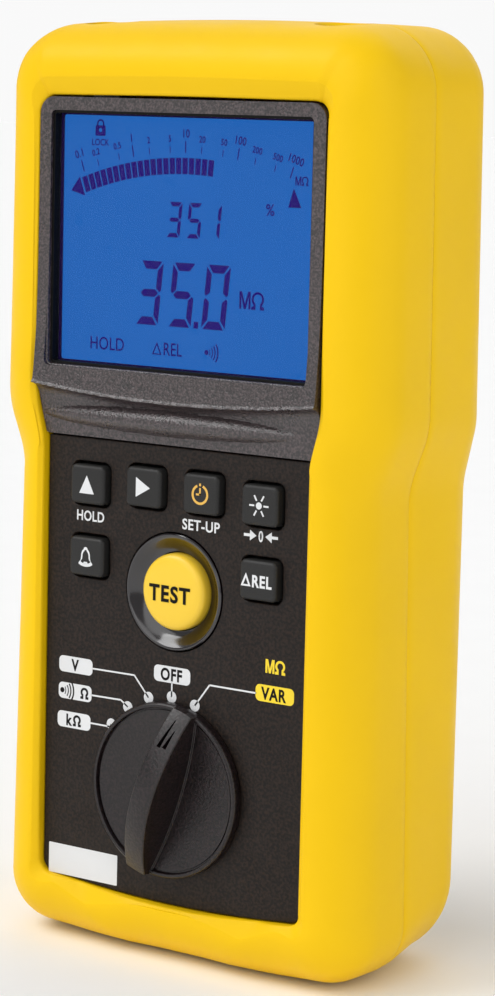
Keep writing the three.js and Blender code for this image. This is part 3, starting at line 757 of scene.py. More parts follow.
def bezel_depth(x, z):
    """Depth of the frame's face: the sharp crest of the lip, the hollow and the long bulge under it."""
    crest = crest_height(x)
    bead = 0.45 * math.exp(-(((z - crest) / 0.36) ** 2))
    if z >= crest:
        rise = (z - crest) / (BEZEL_TOP - crest)
        return CREST_Y - bead + (BEZEL_Y - CREST_Y) * (1 - math.exp(-6 * rise))
    fall = crest - z
    inside = max(0.0, 1 - ((x - BULGE_X) / BULGE_HALF) ** 2 - ((z - BULGE_Z) / BULGE_RISE) ** 2)
    return CREST_Y - bead + HOLLOW * (1 - math.exp(-fall)) + 0.02 * fall - BULGE_PROUD * inside ** 0.8


def steps_between(low, high, step):
    count = max(1, round((high - low) / step))
    return [low + (high - low) * k / count for k in range(count + 1)]


def bezel_blank():
    """A thick sheet whose front follows bezel_depth, a little larger than the frame."""
    xs = steps_between(-BEZEL_HALF - 1, BEZEL_HALF + 1, 0.6)
    zs = steps_between(BEZEL_FOOT - 1, 133, 0.2)
    zs += steps_between(134, BEZEL_TOP + 1, 9)
    wide = len(xs)
    points = [(x, bezel_depth(x, z), z) for z in zs for x in xs]
    faces = [(r * wide + c, r * wide + c + 1, (r + 1) * wide + c + 1, (r + 1) * wide + c)
             for r in range(len(zs) - 1) for c in range(wide - 1)]
    rim = [r * wide for r in range(len(zs))]
    edge = list(range(wide)) + [r * wide + wide - 1 for r in range(1, len(zs))]
    edge += [(len(zs) - 1) * wide + c for c in range(wide - 2, -1, -1)] + rim[-2:0:-1]
    base = len(points)
    points += [(points[i][0], -17.0, points[i][2]) for i in edge]
    for k in range(len(edge)):
        n = (k + 1) % len(edge)
        faces.append((edge[k], base + k, base + n, edge[n]))
    faces.append(tuple(base + k for k in range(len(edge))))
    return make_piece("bezel", points, faces)


def bezel_shape():
    """The frame's front view, which narrows to the panel's width at its foot."""
    foot = (PANEL_HALF + 0.2, BEZEL_FOOT, 0.7)
    right = [foot, (BEZEL_HALF, BEZEL_FOOT + 8.5, 28), (BEZEL_HALF, BEZEL_TOP, 3.8)]
    left = [(-x, z, radius) for x, z, radius in reversed(right)]
    return outline([left[-1], *right, *left[:-1]], 10, 4)


def make_display():
    bezel = combine(bezel_blank(), [rounded_slab("cutter", bezel_shape(), -40, -10, 0, 0)], "INTERSECT")
    hole = recess_cutter(box_shape(*WINDOW, 1.2), -10, BEZEL_Y - 0.4, flare=0.35, floor_edge=0)
    place_piece(smooth(cut(bezel, hole), 28), "bezel", BEZEL_GREY, "housing", "frame_grey", "display_bezel")
    place_piece(smooth(bezel_recess()), "display_recess", RECESS_BLACK, "housing", "frame_grey")

    base = rounded_slab("lcd", box_shape(35.6, 134.6, 194.2, 0.8, 6), LCD_Y, -15.4, 0.2)
    place_piece(smooth(base), "lcd_cell", LCD_EDGE, "housing", "lcd_blue", "lcd_glass")
    field = rounded_slab("field", box_shape(*LCD_FIELD, 0.6, 6), LCD_FACE, LCD_Y + 0.05, 0)
    place_piece(field, "lcd_field", LCD_BLUE, "housing", "lcd_blue")
    marks = join("lcd_marks", lcd_marks(LCD_FACE - INK / 2))
    place_piece(marks, "lcd_marks", LCD_INK, "housing", "lcd_blue")


def bezel_recess():
    """A near-black sleeve round the window's inner walls, from just behind the frame's face to the liquid
    crystal.
    """
    half, low, high = WINDOW
    outer = box_shape(half - 0.02, low + 0.02, high - 0.02, 1.2)
    front = BEZEL_Y + 0.75
    back = LCD_Y - 0.1
    section = [(0.0, front), (0.6, front), (0.6, back), (0.0, back)]
    return loft("recess", [ring_at(outer, inset, y) for inset, y in section], closed=True)


def flipped(segment, across=False, down=False):
    return [(1 - u if across else u, 1 - v if down else v) for u, v in segment]


# Segments of a seven-segment digit, as fractions of its width and height.
TOP_BAR = [(0.06, 1.0), (0.94, 1.0), (0.73, 0.872), (0.27, 0.872)]
MIDDLE_BAR = [(0.26, 0.56), (0.74, 0.56), (0.88, 0.5), (0.74, 0.44), (0.26, 0.44), (0.12, 0.5)]
RIGHT_BAR = [(1.0, 0.975), (0.77, 0.85), (0.77, 0.575), (0.93, 0.515), (1.0, 0.55)]
SEGMENTS = {
    "a": TOP_BAR,
    "b": RIGHT_BAR,
    "c": flipped(RIGHT_BAR, down=True),
    "d": flipped(TOP_BAR, down=True),
    "e": flipped(RIGHT_BAR, across=True, down=True),
    "f": flipped(RIGHT_BAR, across=True),
    "g": MIDDLE_BAR,
}
DIGITS = {"0": "abcdef", "1": "bc", "3": "abcdg", "5": "acdfg"}
ARC_X = 0.5  # middle of the bar graph's circle
ARC_Z = 97.3


def digits(figures, foot, wide, tall, y):
    """Seven-segment figures from (figure, left end) pairs."""
    lean = 0.1
    return ink_each([
        [(left + u * wide + lean * v * tall, foot + v * tall) for u, v in SEGMENTS[segment]]
        for figure, left in figures for segment in DIGITS[figure]
    ], y)


def bar_graph(y):
    """The curved bar graph: a row of bars on a wide arc with a pointer at its left end."""
    first, last, count = 110.2, 84.8, 21
    pitch = (first - last) / count
    loops = [arc_loop(ARC_X, ARC_Z, 82.5, 86.1, first - pitch * k, first - pitch * (k + 0.83), 2)
             for k in range(count)]
    start = math.radians(first + 0.35)
    tip = math.radians(first + 2.7)
    loops.append([polar(ARC_X, ARC_Z, reach, turn)
                  for reach, turn in ((84.4, tip), (81.9, start), (86.5, start))])
    return ink_each(loops, y)


# Each figure of the bar graph's scale, and the place of its tick in degrees on the arc's circle.
SCALE = [("0.1", 109.5), ("0.2", 106.6), ("0.5", 102.6), ("1", 99.9), ("2", 96.9), ("5", 93.1),
         ("10", 90.3), ("20", 87.4), ("50", 83.6), ("100", 80.9), ("200", 77.8), ("500", 74.2),
         ("1000", 71.3)]


def scale_marks(y):
    marks = []
    for figure, angle in SCALE:
        decade = "1" in figure
        turn = math.radians(angle)
        inner = 87.2
        outer = inner + (2.6 if decade else 1.5)
        ends = [*polar(ARC_X, ARC_Z, inner, turn), *polar(ARC_X, ARC_Z, outer, turn)]
        marks.append(ink_shape([stroke_loop(*ends, 0.3 if decade else 0.22)], y))
        height = 1.8 if decade else 1.45
        label = lettering(figure, height, 0, y, height / 2, weight=0.045)
        label.data.transform(Matrix.Rotation(math.pi / 2 - turn, 4, "Y"))
        x, z = polar(ARC_X, ARC_Z, outer + 1.7 - height / 2, turn)
        label.data.transform(Matrix.Translation(Vector((x, 0, z)) * MM))
        marks.append(label)
    return marks


def sound_mark(x, z, size, y):
    """A dot with sound arcs to its right."""
    arcs = [arc_loop(x - 0.3 * size, z, r * size, (r + thick) * size, -34, 34, 12)
            for r, thick in ((0.95, 0.14), (1.45, 0.18), (1.95, 0.22), (2.5, 0.26))]
    return ink_each([circle_loop(x, z, 0.42 * size), *arcs], y)


def padlock(x, z, size, y):
    body = shape_loop(box_shape(0.62 * size, z - 0.85 * size, z + 0.15 * size, 0.12 * size, 4, x))
    keyhole = circle_loop(x, z - 0.3 * size, 0.2 * size, 16)
    shackle = arc_loop(x, z + 0.3 * size, 0.28 * size, 0.44 * size, 0, 180)
    legs = [stroke_loop(side, z + 0.1 * size, side, z + 0.34 * size, 0.16 * size)
            for side in (x + 0.36 * size, x - 0.36 * size)]
    return [ink_shape([body, keyhole], y), *ink_each([shackle, *legs], y)]


def lcd_marks(y):
    marks = bar_graph(y) + scale_marks(y) + padlock(-24.1, 189.6, 2.35, y)
    marks += digits((("3", -13.3), ("5", -4.1), ("0", 5.3)), 145.8, 6.5, 14.4, y)
    marks += digits((("3", -5.0), ("5", 0.6), ("1", 5.9)), 165.7, 3.8, 7.9, y)
    point = [(3.2, 145.8), (4.5, 145.8), (4.6, 147.3), (3.3, 147.3)]
    pointer = [(28.1, 173.6), (31.6, 173.6), (29.5, 177.8)]
    marks += ink_each([point, pointer], y) + sound_mark(7.0, 140.7, 1.35, y)
    marks += [
        lettering("LOCK", 1.5, -24.1, y, 186.2, 0.86, 0.03),
        lettering("%", 2.5, 23.4, y, 172.9, 1.0, 0.05),
        lettering("HOLD", 2.9, -21.2, y, 140.8, 0.86, 0.03),
        lettering("REL", 2.9, -2.5, y, 140.7, 0.8, 0.03),
        ink_shape(delta_loops(-6.9, 140.7, 2.7, 2.9, 0.28), y),
    ]
    return marks + mega_ohm(18.9, 152.9, 3.9, y, 0.14) + mega_ohm(31.5, 179.4, 2.0, y, 0.14)


# ---- Control panel and its printing ----
KEYS = {
    "key_up": (-1.5 * KEY_PITCH, 108.3),
    "key_right": (-0.5 * KEY_PITCH, 109.2),
    "key_timer": (0.5 * KEY_PITCH, 109.2),
    "key_backlight": (1.5 * KEY_PITCH, 108.3),
    "key_alarm": (-1.5 * KEY_PITCH, 91.6),
    "key_relative": (1.5 * KEY_PITCH, 91.6),
}
DOT_CIRCLE = 21.3  # radius of the circle of dots round the knob
DOT_RADIUS = 1.35
PILL_TALL = 3.8
PANEL_INK = PANEL_Y - INK / 2 + 0.005


def key_shape(x, z, grow):
    half = KEY_WIDE / 2 + grow
    rise = KEY_TALL / 2 + grow
    return box_shape(half, z - rise, z + rise, 1.6 + grow, middle=x)


def control_panel():
    """The panel, with openings for the keys and for the test button's collar."""
    right = [(PANEL_HALF, PANEL_FOOT + 2.3, 2.9), (PANEL_HALF, PANEL_TOP, 0.6)]
    shape = outline(mirrored((0, PANEL_FOOT - 0.9, 300), right), 14, 4)
    panel = rounded_slab("panel", shape, PANEL_Y, PANEL_Y + 2, 0.35)
    cuts = [recess_cutter(key_shape(x, z, 0.35), PANEL_Y + 4, PANEL_Y, flare=0.35, floor_edge=0)
            for x, z in KEYS.values()]
    collar_seat = circle_shape(0, TEST_Z, COLLAR_RADIUS + 0.25, 96)
    return cut(panel, *cuts, recess_cutter(collar_seat, PANEL_Y + 4, PANEL_Y, flare=0.25, floor_edge=0))


def ohm_loop(x, z, tall, bold):
    """A capital omega, centred, as one closed loop."""
    radius = 0.42 * tall
    stroke = bold * tall
    centre = z + tall / 2 - radius
    foot = z - tall / 2
    inner = radius - stroke
    gap = math.radians(32)

    def arc(reach, start, end):
        return [(x + reach * math.sin(start + (end - start) * k / 20),
                 centre - reach * math.cos(start + (end - start) * k / 20)) for k in range(21)]

    toe = radius * 1.04
    heel = inner * math.sin(gap)
    right = [(x + heel, foot), (x + toe, foot), (x + toe, foot + stroke)]
    left = [(x - toe, foot + stroke), (x - toe, foot), (x - heel, foot)]
    outside = arc(radius, gap * 1.15, 2 * math.pi - gap * 1.15)
    return outside + left + arc(inner, -gap, gap - 2 * math.pi) + right


def delta_loops(x, z, wide, tall, stroke):
    """A capital delta as an outline triangle."""
    low = z - tall / 2
    high = z + tall / 2
    outer = [(x - wide / 2, low), (x + wide / 2, low), (x, high)]
    rise = stroke * 0.95
    lean = stroke * 1.62
    inner = [(x - wide / 2 + lean, low + rise), (x + wide / 2 - lean, low + rise), (x, high - stroke * 2.6)]
    return [outer, inner]


def em_loop(x, z, tall, bold):
    """A capital M, centred, as one closed loop. Its stems are bold times as wide as it is tall."""
    half = 0.39 * tall
    top = tall / 2
    stem = bold * tall
    right = [(0.0, -0.2 * tall), (half - 1.25 * stem, top), (half, top), (half, -top), (half - stem, -top),
             (half - stem, top - 2.2 * stem), (0.5 * stem, -top)]
    left = [(-u, v) for u, v in reversed(right[1:])]
    return [(x + u, z + v) for u, v in right + left]


def mega_ohm(x, z, tall, y, bold):
    """The unit for megohms: M and omega side by side, centred."""
    em = em_loop(x - 0.44 * tall, z, tall, bold)
    return ink_each([em, ohm_loop(x + 0.45 * tall, z, tall * 1.02, bold)], y)


def pill(x, z, wide):
    shape = box_shape(wide / 2, z - PILL_TALL / 2, z + PILL_TALL / 2, 1.15, 6, x)
    return ink_shape([shape_loop(shape)], PANEL_INK)


def dot_place(position):
    """Centre of the dot for one switch position, counted clockwise from OFF."""
    turn = math.radians(DETENT * position)
    return DOT_CIRCLE * math.sin(turn), KNOB_Z + DOT_CIRCLE * math.cos(turn)


def leader(*corners):
    """A thin printed line through its corners."""
    loops = [stroke_loop(*start, *end, 0.38) for start, end in zip(corners, corners[1:])]
    return ink_each(loops, PANEL_INK)


def white_printing():
    marks = [pill(x, z, wide) for x, z, wide in
             ((-28.0, 65.5, 9.9), (-28.1, 59.2, 9.8), (-28.3, 52.4, 9.8), (0, 67.0, 10.3))]
    dots = [circle_loop(*dot_place(position), DOT_RADIUS) for position in range(-3, 2)]
    marks += ink_each(dots, PANEL_INK)
    for position, corners in (
        (-1, [(-23.1, 65.4), (-10.8, 65.5)]),
        (-2, [(-23.3, 59.1), (-14.6, 59.2)]),
        (-3, [(-23.4, 52.5), (-17.6, 52.5)]),
        (0, [(0, 65.2)]),
        (1, [(23.5, 66.1), (10.6, 66.1)]),
    ):
        marks += leader(*corners, dot_place(position))
    for text, tall, x, z, narrow in (
        ("HOLD", 2.3, -24.4, 100.9, 0.86),
        ("SET-UP", 2.35, 7.2, 101.9, 0.95),
        ("0", 2.4, 23.7, 101.3, 0.74),
    ):
        marks.append(lettering(text, tall, x, PANEL_INK, z, narrow, 0.07))
    for side in (-1, 1):
        tail, neck, tip = [23.7 + side * reach for reach in (4.6, 2.95, 1.2)]
        marks.append(ink_shape([[
            (tail, 101.62), (neck, 101.62), (neck, 102.5), (tip, 101.3), (neck, 100.1),
            (neck, 100.98), (tail, 100.98),
        ]], PANEL_INK))
    plate = box_shape(10.2, 15.2, 22.4, 0.25, 6, -25.0)
    return marks + [ink_shape([shape_loop(plate)], PANEL_INK)]


def yellow_printing():
    return [pill(28.5, 66.4, 10.4), *mega_ohm(28.4, 72.6, 3.1, PANEL_INK, 0.17)]


def black_printing():
    y = PANEL_INK - INK
    texts = [
        ("V", 2.6, -28.2, 65.5),
        ("OFF", 2.7, -0.2, 67.0),
        ("VAR", 2.7, 28.2, 66.4),
        ("k", 2.6, -29.9, 52.4),
    ]
    marks = [lettering(text, tall, x, y, z) for text, tall, x, z in texts]
    ohms = [ohm_loop(x, z, 2.7, 0.2) for x, z in ((-25.3, 59.2), (-27.4, 52.4))]
    return marks + sound_mark(-31.9, 59.2, 1.45, y) + ink_each(ohms, y)


def make_panel():
    panel = smooth(control_panel())
    place_piece(panel, "control_panel", PANEL_BLACK, "housing", "panel_black", "front_panel")
    for name, marks, ink in (
        ("panel_print_white", white_printing(), INK_WHITE),
        ("panel_print_yellow", yellow_printing(), INK_YELLOW),
        ("panel_print_black", black_printing(), INK_BLACK),
    ):
        place_piece(join(name, marks), name, ink, "housing", "panel_black")


# ---- Keys and the test button ----
def key_icon(name, x, z, y):
    """(printed shapes, ink) of one key's symbol."""
    if name == "key_relative":
        delta = ink_shape(delta_loops(x - 3.05, z + 0.1, 2.7, 3.0, 0.42), y)
        return [lettering("REL", 2.6, x + 1.2, y, z - 0.1), delta], INK_WHITE
    if name == "key_alarm":
        clapper = [(x - 0.7, z - 1.62), (x + 0.7, z - 1.62), (x + 0.45, z - 1.15), (x - 0.45, z - 1.15)]
        bell = [bell_loop(x, z, 1.0), bell_loop(x, z + 0.02, 0.7)]
        return [ink_shape(bell, y), ink_shape([clapper], y)], INK_WHITE
    if name == "key_timer":
        loops = [arc_loop(x, z, 1.75, 2.3, 112, 428, 40), stroke_loop(x, z + 1.9, x, z + 2.5, 0.5)]
        loops += [stroke_loop(x + 0.22, z, x - 1.1, z, 0.44), stroke_loop(x, z - 0.2, x, z + 1.5, 0.44)]
        return ink_each(loops, y), INK_AMBER
    if name == "key_backlight":
        turns = [math.radians(60 * k) for k in range(6)]
        rays = [stroke_loop(*polar(x, z, 1.25, turn), *polar(x, z, 2.6, turn), 0.4) for turn in turns]
        return ink_each([circle_loop(x, z, 0.78), *rays], y), INK_WHITE
    arrow = [(x - 1.9, z - 2.25), (x + 2.1, z), (x - 1.9, z + 2.25)]
    if name == "key_up":
        arrow = [(x - 2.15, z - 2.05), (x + 2.15, z - 2.05), (x, z + 2.15)]
    return [ink_shape([arrow], y)], INK_WHITE


def bell_loop(x, z, scale):
    """Half of a bell's outline, mirrored: knob, shoulder, flare and rounded mouth."""
    half = [(0.0, 2.3), (0.42, 2.15), (0.55, 1.8), (1.0, 1.35), (1.25, 0.7), (1.35, -0.5), (1.55, -1.0),
            (2.0, -1.45), (1.95, -1.8), (1.3, -2.1), (0.6, -2.25), (0.0, -2.3)]
    right = [(x + u * scale, z + v * scale) for u, v in half]
    left = [(x - u * scale, z + v * scale) for u, v in reversed(half[1:-1])]
    return right + left


def make_keys():
    for name, (x, z) in KEYS.items():
        face = PANEL_Y - KEY_PROUD
        cap = rounded_slab("cap", key_shape(x, z, -0.3), face, PANEL_Y + 3.2, 0.95, steps=7)
        place_piece(smooth(cap), f"{name}_cap", KEY_BLACK, name, "rubber_black", name)
        icon, ink = key_icon(name, x, z, face - INK / 2 + 0.005)
        place_piece(join("icon", icon), f"{name}_icon", ink, name, "rubber_black")


# The button's face as (radius, depth from the panel).
BUTTON_DOME = [(0, -1.15), (1.5, -1.14), (3, -1.12), (4.5, -1.08), (5.8, -1.02), (7.0, -0.92), (7.7, -0.78),
               (8.15, -0.56), (8.45, -0.26), (8.65, 0.1), (8.74, 0.5), (8.78, 1.2)]


def dome_height(x, z):
    """Depth of the button's face over (x, z)."""
    radius = math.hypot(x, z - TEST_Z)
    for (r0, y0), (r1, y1) in zip(BUTTON_DOME, BUTTON_DOME[1:]):
        if radius <= r1:
            return PANEL_Y + y0 + (y1 - y0) * (radius - r0) / (r1 - r0)
    return PANEL_Y


def drape(piece, depth):
    """Lays flat printing made at y 0 on a curved face, whose depth is given in mm at (x, z)."""
    for vertex in piece.data.vertices:
        vertex.co.y += depth(vertex.co.x / MM, vertex.co.z / MM) * MM
    return piece


def make_test_button():
    dome = turned("dome", BUTTON_DOME + [(8.8, 3.0), (0, 3.0)], (0, PANEL_Y, TEST_Z), steps=128)
    place_piece(smooth(dome), "test_dome", BUTTON_YELLOW, "test_button", "button_yellow", "test_button")
    text = drape(lettering("TEST", 3.6, -0.4, -INK / 2 - 0.09, TEST_Z - 0.3, 0.93, 0.15), dome_height)
    place_piece(text, "test_print", INK_BLACK, "test_button", "button_yellow")

    profile = [(COLLAR_RADIUS, 0.3), (13.35, -0.1), (13.15, -0.32), (12.9, -0.36), (12.65, -0.28)]
    profile += [(12.4 - 3.3 * k / 8, -0.1 + 2.1 * rise) for k, (rise, _) in enumerate(quarter(8))]
    profile += [(9.05, 2.3), (9.05, 3.4), (COLLAR_RADIUS, 3.4)]
    collar = turned("collar", profile, (0, PANEL_Y, TEST_Z), steps=128, closed=True)
    place_piece(smooth(collar), "test_collar", GLOSS_BLACK, "housing", "gloss_black", "test_button_collar")


# ---- Selector knob ----
DISH_RADIUS = 18.6
KNOB_RIM = 2.9  # height of the rim round the dish


def dish_height(radius):
    return KNOB_RIM - 0.7 - 1.3 * (1 - (min(radius, DISH_RADIUS) / DISH_RADIUS) ** 2.2)


def grip_section(v):
    """Cross-section (u, height) of the knob's grip at v along it, from its left foot over the top."""
    top = KNOB_PROUD - 5.9 * (abs(v) / 19.5) ** 2
    left = -2.9
    right = 2.85 - 0.15 * (abs(v) / 20) ** 2
    lens = max(0.0, 1 - (v / 18.4) ** 2)
    foot = right + 0.25 + 0.9 * lens
    floor = dish_height(abs(v))
    edge = 0.4
    lip = floor + 0.45
    section = [(left - 0.5, floor - 1.2), (left - 0.35, floor + 0.4)]
    section += [(left + edge * (1 - c), top - edge * (1 - s)) for s, c in quarter(4)]
    section += [(right - edge * (1 - s), top - edge * (1 - c)) for s, c in quarter(4)]
    return section + [(foot, lip + 0.1), (foot + 0.1, lip), (foot + 0.42, lip - 0.02),
                      (foot + 0.52, lip - 0.12), (foot + 0.56, floor - 1.2)]


def selector_knob():
    profile = [(DISH_RADIUS * k / 16, -dish_height(DISH_RADIUS * k / 16)) for k in range(17)]
    profile += [(radius, below - KNOB_RIM) for radius, below in (
        (18.7, 1.0), (19.0, 1.0), (19.08, 0.3), (19.25, 0.05), (19.5, 0.0), (19.8, 0.02), (20.1, 0.25),
        (20.27, 0.6), (KNOB_RADIUS, 1.0))]
    profile += [(KNOB_RADIUS, -0.7), (20.1, -0.35), (19.6, -0.3), (0, -0.3)]
    knob = turned("knob", profile, steps=160)

    rings = [[(u, -height, v) for u, height in grip_section(v)] for v in steps_between(-21, 21, 0.7)]
    reach = KNOB_RADIUS - 0.05
    barrel = turned("barrel", [(0, -30), (reach, -30), (reach, -0.6), (0, -0.6)], steps=160)
    grip = combine(loft("grip", rings), [barrel], "INTERSECT")
    cut(combine(knob, [grip], "UNION"), *pointer_cuts())
    knob.data.transform(Matrix.Translation(Vector((0, PANEL_Y, KNOB_Z)) * MM)
                        @ Matrix.Rotation(math.radians(KNOB_TURN), 4, "Y"))
    return knob


def pointer_cuts():
    """Two slim pockets that leave a raised arrow on the grip's end."""
    loops = [
        [(-1.5, 11.8), (-0.5, 11.8), (-0.25, 18.2), (-0.5, 18.3)],
        [(-0.02, 12.1), (1.05, 12.1), (0.95, 16.3), (0.75, 16.3)],
    ]
    return [loft("cutter", [[(u, y, v) for u, v in loop] for y in (-12, -3.9)]) for loop in loops]


def make_knob():
    place_piece(smooth(selector_knob()), "knob", KNOB_BLACK, "selector", "gloss_black", "selector_knob")


# ---- Sockets ----
def make_sockets():
    floor = HEIGHT - SOCKET_DEPTH  # bottom of the well, and the rest is counted from it
    for name, side, finish, slot in (
        ("positive", 1, SOCKET_RED, "socket_red"),
        ("negative", -1, GLOSS_BLACK, "gloss_black"),
    ):
        place = (side * SOCKET_X, SOCKET_Y, floor)
        sleeve = turned("sleeve", [
            (4.4, 0), (4.4, 18.9), (4.5, 19.3), (4.75, 19.55), (5.0, 19.5), (5.22, 19.25), (5.3, 18.9),
            (5.3, 16.0), (6.0, 15.9), (6.2, 15.6), (6.2, -3.7), (6.0, -4.0), (1.3, -4.0), (1.3, 0),
        ], place, "Z", 72, closed=True)
        place_piece(smooth(sleeve), f"socket_sleeve_{name}", finish, "housing", slot, f"socket_{name}")
        contact = turned("contact", [
            (2.05, 2.0), (2.05, 12.9), (2.2, 13.25), (2.5, 13.4), (2.85, 13.25), (3.0, 12.8),
            (3.0, 0.3), (0.9, 0.3), (0.9, 2.0),
        ], place, "Z", 64, closed=True)
        slits = [block(place[0] - w, place[0] + w, place[1] - d, place[1] + d, floor + 5, floor + 15)
                 for w, d in ((0.22, 4), (4, 0.22))]
        cut(contact, *slits)
        place_piece(smooth(contact), f"contact_{name}", BRASS, "housing", "brass", f"socket_contact_{name}")


# ---- Back: door, stand, screws and cells ----
def battery_door():
    """The door, with seats for its two screws and a row of grip grooves at its foot."""
    shape = box_shape(door_high.x, door_low.z, door_high.z, 5, 10)
    door = rounded_slab("door", shape, door_low.y, BACK_Y, 0.2, 0.6, 5)
    head_seat = BACK_Y - 1.8
    cuts = []
    for x in (DOOR_SCREW_X, -DOOR_SCREW_X):
        cuts.append(recess_cutter(circle_shape(x, DOOR_SCREW_Z, WELL_RADIUS), head_seat, BACK_Y))
        hole = circle_shape(x, DOOR_SCREW_Z, SHANK_RADIUS)
        cuts.append(recess_cutter(hole, BACK_Y - 6, head_seat, flare=0.1, floor_edge=0))
    for k in range(-5, 6):
        groove = box_shape(0.75, door_low.z + 5, door_low.z + 14, 0.72, 6, 3.6 * k)
        cuts.append(recess_cutter(groove, BACK_Y - 0.8, BACK_Y, flare=0.35))
    return cut(door, *cuts)


def tilt_stand():
    """The stand: a leaf with a sunk field and three ribs, and its hinge knuckle."""
    back = stand_high.y
    shape = box_shape(STAND_HALF, STAND_LOW, HINGE_Z + 0.5, 0.8, 6)
    knuckle = turned("knuckle", [
        (0, -STAND_HALF), (2.1, -STAND_HALF), (2.4, -STAND_HALF + 0.3),
        (2.4, STAND_HALF - 0.3), (2.1, STAND_HALF), (0, STAND_HALF),
    ], (0, HINGE_Y, HINGE_Z), "X", 48)
    leaf = combine(rounded_slab("stand", shape, back - 3.4, back, 0.3, 0.5), [knuckle], "UNION")
    dish = box_shape(STAND_HALF - 6, STAND_LOW + 10, HINGE_Z - 9, 3)
    bore = turned("cutter", [(0, -40), (1.45, -40), (1.45, 40), (0, 40)], (0, HINGE_Y, HINGE_Z), "X", 32)
    cut(leaf, recess_cutter(dish, back - 1.2, back, flare=0.6), bore)
    ribs = [rounded_slab("rib", box_shape(12, z - 0.55, z + 0.55, 0.5, 5), back - 1.6, back - 0.4, 0, 0.35)
            for z in (STAND_LOW + 16, STAND_LOW + 19.6, STAND_LOW + 23.2)]
    return combine(leaf, ribs, "UNION")


def slotted_screw(name, x, z):
    """A quarter-turn screw with a domed head and a wide slot."""
    face = BACK_Y - GAP
    profile = [(0, face), (2.0, face - 0.03), (2.7, face - 0.2), (2.95, face - 0.45), (3.0, face - 0.7),
               (3.0, face - 1.3), (1.7, face - 1.35), (1.7, face - 5.7), (1.4, face - 6.0), (0, face - 6.0)]
    screw = turned(name, profile, (x, 0, z), "Y", 64)
    return cut(screw, block(x - 0.5, x + 0.5, face - 0.8, face + 1, z - 4, z + 4))


def cross_screw(name, x, z, head):
    """A pan-head screw with a cross recess, its head towards the back."""
    profile = [(0, head), (1.4, head - 0.05), (2.3, head - 0.3), (2.75, head - 0.8), (2.9, head - 1.4),
               (2.9, head - 2.2), (1.4, head - 2.25), (1.4, head - 27), (0, head - 28)]
    screw = turned(name, profile, (x, 0, z), "Y", 48)
    return cut(screw, *[block(x - w, x + w, head - 1.3, head + 1, z - d, z + d)
                        for w, d in ((0.28, 1.55), (1.55, 0.28))])


def cell_piece(node, flipped):
    """A cell with a rounded wrap and its terminals, drawn along X about its own middle."""
    low, high = box_mm(node)
    radius = (high.z - low.z) / 2
    half = (high.x - low.x) / 2
    profile = [
        (0, -half), (4.6, -half), (4.75, -half + 0.1), (5.0, -half + 0.45), (radius - 0.5, -half + 0.5),
        (radius - 0.1, -half + 0.8), (radius, -half + 1.3), (radius, half - 2.4),
        (radius - 0.12, half - 1.9), (radius - 0.6, half - 1.55), (4.0, half - 1.45), (2.9, half - 1.4),
        (2.6, half - 1.1), (2.55, half - 0.2), (2.35, half), (0, half),
    ]
    piece = turned("cell", profile, axis="X", steps=64)
    piece.location = (low + high) / 2 * MM
    piece.rotation_euler.y = math.pi if flipped else 0.0
    return piece


def make_back():
    place_piece(smooth(battery_door()), "door", YELLOW, "battery_door", "housing_yellow", "battery_door")
    place_piece(smooth(tilt_stand()), "stand_leaf", STAND_GREY, "tilt_stand", "frame_grey", "tilt_stand")
    for name, side in (("left", -1), ("right", 1)):
        screw = slotted_screw("screw", side * DOOR_SCREW_X, DOOR_SCREW_Z)
        node = f"door_screw_{name}"
        place_piece(smooth(screw), f"quarter_turn_{name}", STEEL, node, "steel", node)
    for k in range(1, 5):
        low, high = box_mm(f"case_screw_{k}")
        screw = cross_screw("screw", (low.x + high.x) / 2, (low.z + high.z) / 2, high.y)
        place_piece(smooth(screw), f"case_fixing_{k}", STEEL, "housing", "steel", f"case_screw_{k}")
    for k in range(1, 7):
        node = f"battery_{k}"
        cell = cell_piece(node, flipped=k % 2 == 0)
        place_piece(smooth(cell), f"cell_{k}", CELL_WRAP, "housing", "cell_wrap", node)


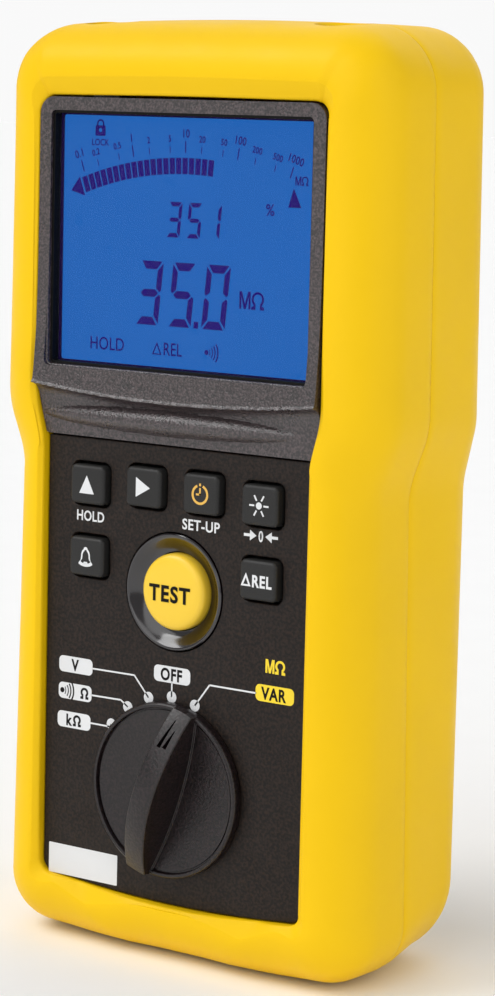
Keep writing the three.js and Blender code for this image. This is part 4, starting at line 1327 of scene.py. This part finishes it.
# ---- Camera, floor and light ----
def add_camera():
    """A long lens from the right of the face, a little above it."""
    azimuth = math.radians(35.6)
    elevation = math.radians(7.81)
    roll = math.radians(1.37)
    target = Vector((-1.66, 10.5, 104.39)) * MM
    back = Vector((math.sin(azimuth) * math.cos(elevation),
                   -math.cos(azimuth) * math.cos(elevation), math.sin(elevation)))
    right = (-back).cross(Vector((0, 0, 1))).normalized()
    up = right.cross(-back)
    across = right * math.cos(roll) + up * math.sin(roll)
    upright = up * math.cos(roll) - right * math.sin(roll)
    lens = bpy.data.cameras.new("camera")
    lens.lens = 105.894
    lens.sensor_width = 36
    lens.clip_start = 0.05
    lens.clip_end = 60
    camera = add_object("camera", lens)
    turn = Matrix((across, upright, back)).transposed().to_4x4()
    camera.matrix_world = Matrix.Translation(target + back * 0.68364) @ turn
    bpy.context.scene.camera = camera


def add_floor():
    mesh = bpy.data.meshes.new("floor")
    corners = [(-14, -14, 0), (14, -14, 0), (14, 14, 0), (-14, 14, 0)]  # metres
    mesh.from_pydata(corners, [], [(0, 1, 2, 3)])
    floor = add_object("floor", mesh)
    floor.location.z = cad_box[0][2] - 0.0004
    pale = moulded("floor_pale", (0.95, 0.95, 0.95), 0.8, grain=1.5, relief=0.004, drift=0.005)
    mesh.materials.append(pale)


def add_light(name, place, strength, spread):
    """A soft light from far off in the direction of a place, spread over an angle in degrees."""
    lamp = bpy.data.lights.new(name, "SUN")
    lamp.energy = strength
    lamp.angle = math.radians(spread)
    light = add_object(name, lamp)
    light.rotation_euler = Vector(place).to_track_quat("Z", "Y").to_euler()


def add_lights():
    """A soft light high on the left, three weaker fills, and an even studio round them."""
    add_light("key_light", (-0.62, -0.5, 0.92), 1.25, 35)
    add_light("front_fill", (-0.1, -1.25, 0.75), 1.0, 60)
    add_light("side_fill", (1.15, -0.1, 0.5), 0.75, 60)
    add_light("back_fill", (-0.3, 1.2, 0.9), 0.6, 60)
    world = bpy.data.worlds.new("studio")
    world.use_nodes = True
    tree = world.node_tree
    white = (1, 1, 1, 1)
    studio = tree.nodes["Background"]
    studio.inputs["Color"].default_value = white
    studio.inputs["Strength"].default_value = 0.35
    backdrop = add_node(tree, "Background", {}, {"Color": white, "Strength": 0.95})
    seen = tree.nodes.new("ShaderNodeLightPath").outputs["Is Camera Ray"]
    mix = add_node(tree, "MixShader", {0: seen, 1: studio.outputs[0], 2: backdrop.outputs[0]}, {})
    tree.links.new(mix.outputs["Shader"], tree.nodes["World Output"].inputs["Surface"])
    bpy.context.scene.world = world
    bpy.context.scene.view_settings.view_transform = "Standard"


# ---- Assembly ----
finish_cad_nodes()
make_case()
make_display()
make_panel()
make_keys()
make_test_button()
make_knob()
make_sockets()
make_back()
add_camera()
add_floor()
add_lights()
